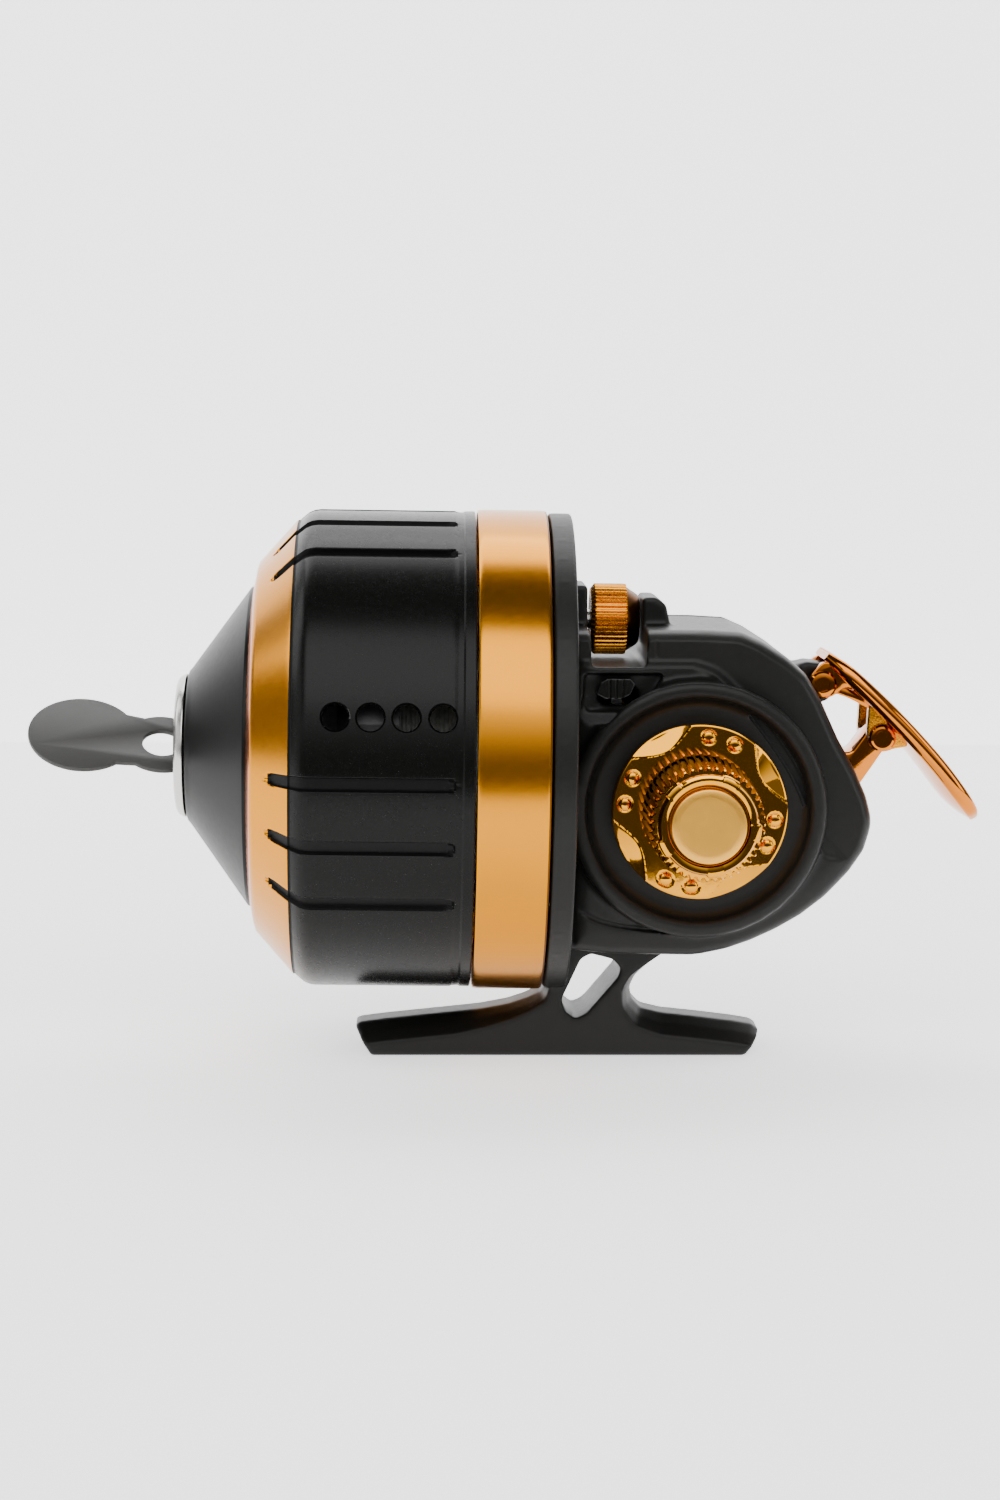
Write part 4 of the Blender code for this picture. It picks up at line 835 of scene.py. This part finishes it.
def thumb_lever():
    mid = [(41.3, 62.6), (44.2, 60.3), (49, 55.9), (53.8, 51.1), (58.5, 45.9), (62, 41.5), (64.2, 38.6), (65, 37.2)]
    half = [5.6, 8.3, 9.6, 10, 9.8, 9, 6.8, 4.2]
    thick = [1.3, 2.3, 2.5, 2.5, 2.5, 2.4, 2.0, 1.3]
    dish = [0.0, 0.1, 0.3, 0.6, 1.1, 1.2, 0.6, 0.0]
    path = smooth_path([(a[0], a[1]) for a in mid], 8)
    prop = smooth_path([(h, t) for h, t in zip(half, thick)], 8)
    dpth = smooth_path([(d, 0.0) for d in dish], 8)
    m = len(path)
    sect = 33
    verts, faces = [], []
    for i in range(m):
        a, b = path[max(0, i - 1)], path[min(m - 1, i + 1)]
        t = (b - a).normalized()
        nrm = Vector((-t.y, t.x))
        if nrm.x < 0:
            nrm = -nrm
        w, th = prop[i]
        dd = max(0.0, dpth[i].x)
        th = th * 0.5
        ring = []
        for j in range(sect):
            v = -1 + 2 * j / (sect - 1)
            y = v * (w - 0.95 * th)
            c = 1 - v ** 4
            ring.append((y, th - (0.45 + dd) * c))
        # the long edge is a rounded bead, then comes the back face, then the other bead
        for q in range(1, 10):
            a = math.radians(90 - 18 * q)
            ring.append((w - 0.95 * th + 0.95 * th * math.cos(a), th * math.sin(a)))
        for j in range(sect):
            v = 1 - 2 * j / (sect - 1)
            y = v * (w - 0.95 * th)
            c = (1 - v * v)
            ring.append((y, -th - dd * 0.85 * c))
        for q in range(1, 10):
            a = math.radians(-90 - 18 * q)
            ring.append((-(w - 0.95 * th) + 0.95 * th * math.cos(a), th * math.sin(a)))
        for y, h in ring:
            p = path[i] + nrm * h
            verts.append((p.x, y, p.y))
    k = len(ring)
    for i in range(m - 1):
        for j in range(k):
            j2 = (j + 1) % k
            faces.append((i * k + j, i * k + j2, (i + 1) * k + j2, (i + 1) * k + j))
    faces += [tuple(range(k)), tuple(range((m - 1) * k, m * k))[::-1]]
    blade = fix_normals(mesh_object("thumb_blade", verts, faces))
    finish(blade, "lever", ("thumb_lever",), "chrome_orange", sharp=50)

    # ears: upper plate round the pivot, lower plate round the rivet, joined by a thin strip that closes the loop
    top = [(38.4, 58.9), (39.4, 60.4), (40.9, 61.9), (43.2, 61.2), (46.2, 58.7), (46.0, 57.2), (44.2, 58.0),
           (42.4, 56.4), (40.6, 56.0), (39.0, 56.7)]
    low = [(47.9, 54.6), (48.2, 56.4), (50.6, 54.6), (54.9, 50.2), (54.2, 48.6), (52.0, 48.3), (50.4, 47.7),
           (48.4, 48.4), (47.7, 50.2)]
    for sgn, side in ((-1, "near"), (1, "far")):
        y0, y1 = (4.0, 6.0) if sgn > 0 else (-6.0, -4.0)
        for nm, pts in (("top", top), ("low", low)):
            ob = prism_y("lever_ear_%s_%s" % (nm, side), rounded(pts, 0.9, 4, closed=True), y0, y1)
            cx, cz = ((40.6, 58.3) if nm == "top" else (50.0, 50.0))
            if nm == "top":
                boolean(ob, [disc_y("bore", cx, cz, 1.55, y0 - 1, y1 + 1, 40)])
            bevel(ob, 0.3, 3, 35)
            finish(ob, "lever", (), "chrome_grain" if nm == "low" else "chrome_orange", sharp=35)
        ya, yb = (4.3, 5.7) if sgn > 0 else (-5.7, -4.3)
        strip = [(41.4, 56.6), (42.6, 56.9), (44.6, 56.2), (48.2, 54.4), (48.4, 55.9), (45.2, 57.4), (43.2, 57.9)]
        ob = prism_y("lever_web_%s" % side, rounded(strip, 0.6, 3, closed=True), ya, yb)
        bevel(ob, 0.2, 2, 35)
        finish(ob, "lever", (), "chrome_orange", sharp=35)


thumb_lever()

arm = [(47.7, 50.3), (48.6, 51.9), (50.4, 52.2), (52, 51), (52, 49.4), (50.9, 48.1), (49, 45.2), (46.8, 42), (45, 40.3),
       (43.5, 40.7), (42.8, 42.5), (42.7, 46.9), (44, 47.5), (45.6, 47.4)]
ob = prism_y("lever_arm_link", rounded(arm, 0.8, 4, closed=True), -3.6, 3.6)
bevel(ob, 0.45, 3, 35)
finish(ob, "lever", ("lever_arm",), "chrome_orange", sharp=35)


def headed_pin(name, cx, cz, r_shaft, r_head, y_head, t_head, body, node, mat, hexed):
    """A pin across the lever with a domed head each end; the near head has a socket or a ring groove."""
    h = r_head
    half = [(0.001, y_head), (h * 0.62, y_head), (h * 0.86, y_head - 0.12), (h, y_head - 0.45), (h, y_head - t_head),
            (r_shaft, y_head - t_head)]
    prof = [(-y, r) for r, y in half] + [(y, r) for r, y in half[::-1]]
    ob = lathe(name, prof, 48, lambda a, p, q: (cx + p, a, cz + q))
    cuts = []
    for sgn in (-1, 1):
        y0, y1 = sorted((sgn * (y_head - 0.55), sgn * (y_head + 1)))
        if hexed:
            cuts.append(disc_y("hex", cx, cz, 1.15, y0, y1, 6, phase=0.26))
        else:
            c = disc_y("groove", cx, cz, 1.5, *sorted((sgn * (y_head - 0.25), sgn * (y_head + 1))), 40)
            boolean(c, [disc_y("core", cx, cz, 1.15, -9, 9, 40, phase=0.03)])
            cuts.append(c)
    boolean(ob, cuts)
    finish(ob, body, (node,), mat, sharp=30)


headed_pin("lever_pivot_screw", 40.6, 58.3, 1.2, 2.1, 7.4, 1.1, "frame", "lever_pivot_pin", "chrome_orange", True)
headed_pin("lever_rivet_head", 50.0, 50.0, 1.2, 2.1, 7.0, 0.9, "lever", "lever_rivet", "chrome_orange", False)


# ---------------------------------------------------------------- drag wheel and switch

def drag_wheel():
    ang = 0.0

    def place(a, p, q):
        return reel(a, p, 20.65 + q)
    prof = [(4.7, 3.6), (4.7, 4.7), (5.0, 5.05), (5.35, 5.5), (5.7, 5.5), (9.9, 5.5), (10.25, 5.42), (10.3, 5.0), (12.0, 3.9),
            (12.3, 3.5), (12.3, 1.62), (4.7, 1.62)]
    teeth = 40

    def radius(a, r, t, i):
        if 2 <= i <= 6:
            w = 0.5 + 0.5 * math.cos(teeth * t)
            w = min(1.0, max(0.0, (w - 0.22) * 2.4))
            return r - (0.42 if 3 <= i <= 5 else 0.2) * (1 - w)
        return r

    def pick(i, t):
        return 1 if i >= 7 else 0
    ob = lathe("drag_wheel_ribbed", prof, teeth * 8, place, ("chrome_grain", "gold_dark"), pick, radius)
    finish(ob, "drag_wheel", ("drag_wheel",), sharp=40)


drag_wheel()

sw = [(5, 57.9), (5.6, 59.6), (6.6, 60.2), (10.2, 60.2), (10.8, 59.4), (10.2, 57.9), (9, 57.2), (6.4, 57.2)]
ob = cad_copy("switch_slider", "anti_reverse_switch")
for x in (6.9, 7.9, 8.9):
    boolean(ob, [prism_y("grip", [(x, 56.5), (x + 0.28, 56.5), (x + 0.28, 61), (x, 61)], -19.0, -18.2)])
remesh(ob, 0.11, 4, 0.5, 0.5)
finish(ob, "switch", ("anti_reverse_switch",), "gloss", sharp=60)


# ---------------------------------------------------------------- handle on the far side

soft_copy("crank_arm_forged", "crank_arm", "crank", "paint", 0.18, 6, keep=0.45,
          extra=[strip_y("armline", dense([(CRANK[0] - 8, CRANK[1]), (CRANK[0] - 36, CRANK[1])], 2.0), 1.5, 43.1, 50.0)])


def handle():
    prof = [(43.6, 2.1), (43.6, 5.0), (44.0, 5.55), (44.6, 5.8), (47.5, 6.0), (49.0, 6.6), (49.4, 6.4), (49.8, 6.4),
            (50.2, 7.1), (51.0, 7.5), (51.6, 7.4), (52.0, 7.4), (52.4, 7.95), (53.4, 8.3), (53.8, 8.1), (54.2, 8.1),
            (54.6, 8.55), (56.0, 8.5), (58.0, 8.2), (59.6, 7.3), (60.4, 6.4), (60.4, 2.1)]
    ob = lathe("handle_knob_grip", prof, 144, lambda a, p, q: (-21.5 + p, a, 40.6 + q), radius=lambda a, r, t, i:
               r - (0.22 * (0.5 + 0.5 * math.cos(24 * t)) if 5 <= i <= 18 else 0.0))
    finish(ob, "knob", ("handle_knob",), "rubber", sharp=35)
    prof = [(60.7, 6.0), (60.9, 6.2), (61.2, 6.1), (61.4, 5.9), (61.5, 5.2), (61.75, 4.9), (62.0, 4.5), (62.05, 3.2),
            (62.0, 3.0), (62.0, 2.6), (62.1, 2.4), (62.15, 0.001), (60.7, 0.001)]
    ob = lathe("knob_cap_plate", prof, 96, lambda a, p, q: (-21.5 + p, a, 40.6 + q))
    finish(ob, "knob", ("knob_cap",), "gold", sharp=35)


handle()

ob = cad_copy("crank_nut_hex", "crank_nut")
bevel(ob, 0.35, 3, 25)
finish(ob, "crank", ("crank_nut",), "chrome_gold", sharp=30)


# ---------------------------------------------------------------- studio

def studio_mat(name, colour, emit=0.0, rough=0.9):
    m = bpy.data.materials.new(name)
    m.use_nodes = True
    b = m.node_tree.nodes["Principled BSDF"]
    n = m.node_tree.nodes.new("ShaderNodeTexNoise")
    n.inputs["Scale"].default_value = 30.0
    r = m.node_tree.nodes.new("ShaderNodeMixRGB")
    m.node_tree.links.new(n.outputs["Fac"], r.inputs["Fac"])
    r.inputs["Color1"].default_value = (*[c * 0.995 for c in colour], 1)
    r.inputs["Color2"].default_value = (*colour, 1)
    m.node_tree.links.new(r.outputs["Color"], b.inputs["Base Color"])
    b.inputs["Roughness"].default_value = rough
    b.inputs["Specular IOR Level"].default_value = 0.1
    b.inputs["Emission Color"].default_value = (*colour, 1)
    b.inputs["Emission Strength"].default_value = emit
    return m


def studio_sheet(name, corners, mat):
    me = bpy.data.meshes.new(name)
    me.from_pydata([tuple(c) for c in corners], [], [tuple(range(len(corners)))])
    me.materials.append(mat)
    ob = bpy.data.objects.new(name, me)
    bpy.context.scene.collection.objects.link(ob)
    return ob


floor_m = studio_mat("floor_white", (0.93, 0.93, 0.93), 1.15)
wall_m = studio_mat("wall_white", (0.93, 0.93, 0.93), 1.55)
dark_m = studio_mat("dark_card", (0.035, 0.035, 0.035), 0.0)
mid_m = studio_mat("grey_card", (0.22, 0.22, 0.22), 0.0)

# floor with a swept wall behind
pts = [(y, 0.0) for y in (-0.205, 0.0, 0.35)]
for i in range(1, 13):
    a = math.radians(90 * i / 12)
    pts.append((0.35 + 0.25 * math.sin(a), 0.25 - 0.25 * math.cos(a)))
pts.append((0.60, 1.0))
verts, faces, fmi = [], [], []
for y, z in pts:
    verts += [(-0.9, y, z - 0.00005), (0.9, y, z - 0.00005)]
for i in range(len(pts) - 1):
    faces.append((2 * i, 2 * i + 1, 2 * i + 3, 2 * i + 2))
    fmi.append(0 if i < 3 else 1)
me = bpy.data.meshes.new("sweep")
me.from_pydata(verts, [], faces)
me.materials.append(floor_m)
me.materials.append(wall_m)
me.polygons.foreach_set("material_index", fmi)
sweep = bpy.data.objects.new("studio_sweep", me)
bpy.context.scene.collection.objects.link(sweep)
for p in me.polygons:
    p.use_smooth = True

def fade_mat(name, low, high, z0, z1):
    """A card whose glow changes evenly with height."""
    m = bpy.data.materials.new(name)
    m.use_nodes = True
    nt = m.node_tree
    b = nt.nodes["Principled BSDF"]
    b.inputs["Base Color"].default_value = (0.02, 0.02, 0.02, 1)
    b.inputs["Roughness"].default_value = 0.9
    b.inputs["Emission Color"].default_value = (1, 1, 1, 1)
    tc = nt.nodes.new("ShaderNodeTexCoord")
    sx = nt.nodes.new("ShaderNodeSeparateXYZ")
    mr = nt.nodes.new("ShaderNodeMapRange")
    mr.interpolation_type = "SMOOTHSTEP"
    mr.inputs["From Min"].default_value = z0
    mr.inputs["From Max"].default_value = z1
    mr.inputs["To Min"].default_value = low
    mr.inputs["To Max"].default_value = high
    nt.links.new(tc.outputs["Object"], sx.inputs["Vector"])
    nt.links.new(sx.outputs["Z"], mr.inputs["Value"])
    nt.links.new(mr.outputs["Result"], b.inputs["Emission Strength"])
    return m


# the camera side is dim at the floor's edge and brightens up to the softbox
fade = fade_mat("front_fade", 0.05, 1.7, 0.04, 0.44)
studio_sheet("card_front", [(-1.2, -0.80, -0.55), (1.2, -0.80, -0.55), (1.2, -0.80, 0.42), (-1.2, -0.80, 0.42)], fade)
studio_sheet("card_top", [(-1.0, -0.47, 1.0), (1.0, -0.47, 1.0), (1.0, 0.14, 1.0), (-1.0, 0.14, 1.0)], dark_m)
left_m = fade_mat("left_fade", 0.9, 1.3, 0.0, 0.6)
studio_sheet("card_left", [(-0.90, -0.62, -0.02), (-0.90, -0.06, -0.02), (-0.90, -0.06, 0.60), (-0.90, -0.62, 0.60)], left_m)


def area(name, loc, target, sx, sy, power, colour=(1, 1, 1), spread=180):
    li = bpy.data.lights.new(name, "AREA")
    li.shape = "RECTANGLE"
    li.size, li.size_y = sx, sy
    li.energy = power
    li.color = colour
    li.spread = math.radians(spread)
    ob = bpy.data.objects.new(name, li)
    bpy.context.scene.collection.objects.link(ob)
    ob.location = loc
    d = Vector(target) - Vector(loc)
    ob.rotation_euler = d.to_track_quat("-Z", "Y").to_euler()
    return ob


area("softbox_front", (-0.05, -0.62, 0.66), (0, 0, 0.045), 1.1, 0.60, 7.0)
area("softbox_left", (-0.80, 0.10, 0.55), (0, 0, 0.045), 0.4, 0.5, 2.0)
area("softbox_right", (0.85, -0.30, 0.32), (0, 0, 0.045), 0.4, 0.6, 2.5)
area("overhead", (0.0, 0.38, 0.85), (0, 0.05, 0.0), 1.2, 0.36, 6.0)

world = bpy.data.worlds.new("studio") if bpy.context.scene.world is None else bpy.context.scene.world
bpy.context.scene.world = world
world.use_nodes = True
bg = world.node_tree.nodes.get("Background")
bg.inputs["Color"].default_value = (1, 1, 1, 1)
bg.inputs["Strength"].default_value = 0.24

cam = bpy.data.cameras.new("camera")
cam.lens = 72.0
cam.sensor_width = 36.0
cam.sensor_fit = "AUTO"
cam_ob = bpy.data.objects.new("camera", cam)
bpy.context.scene.collection.objects.link(cam_ob)
E_, A_, R_ = math.radians(7.0), math.radians(1.5), math.radians(0.344)
back = Vector((-math.sin(A_) * math.cos(E_), -math.cos(A_) * math.cos(E_), math.sin(E_)))
right0 = Vector((math.cos(A_), -math.sin(A_), 0))
up0 = back.cross(right0)
right = right0 * math.cos(R_) + up0 * math.sin(R_)
up = -right0 * math.sin(R_) + up0 * math.cos(R_)
loc = Vector((-0.0089, 0, 0.0472)) + back * 0.46875
cam_ob.matrix_world = Matrix(((right.x, up.x, back.x, loc.x), (right.y, up.y, back.y, loc.y),
                              (right.z, up.z, back.z, loc.z), (0, 0, 0, 1)))
bpy.context.scene.camera = cam_ob
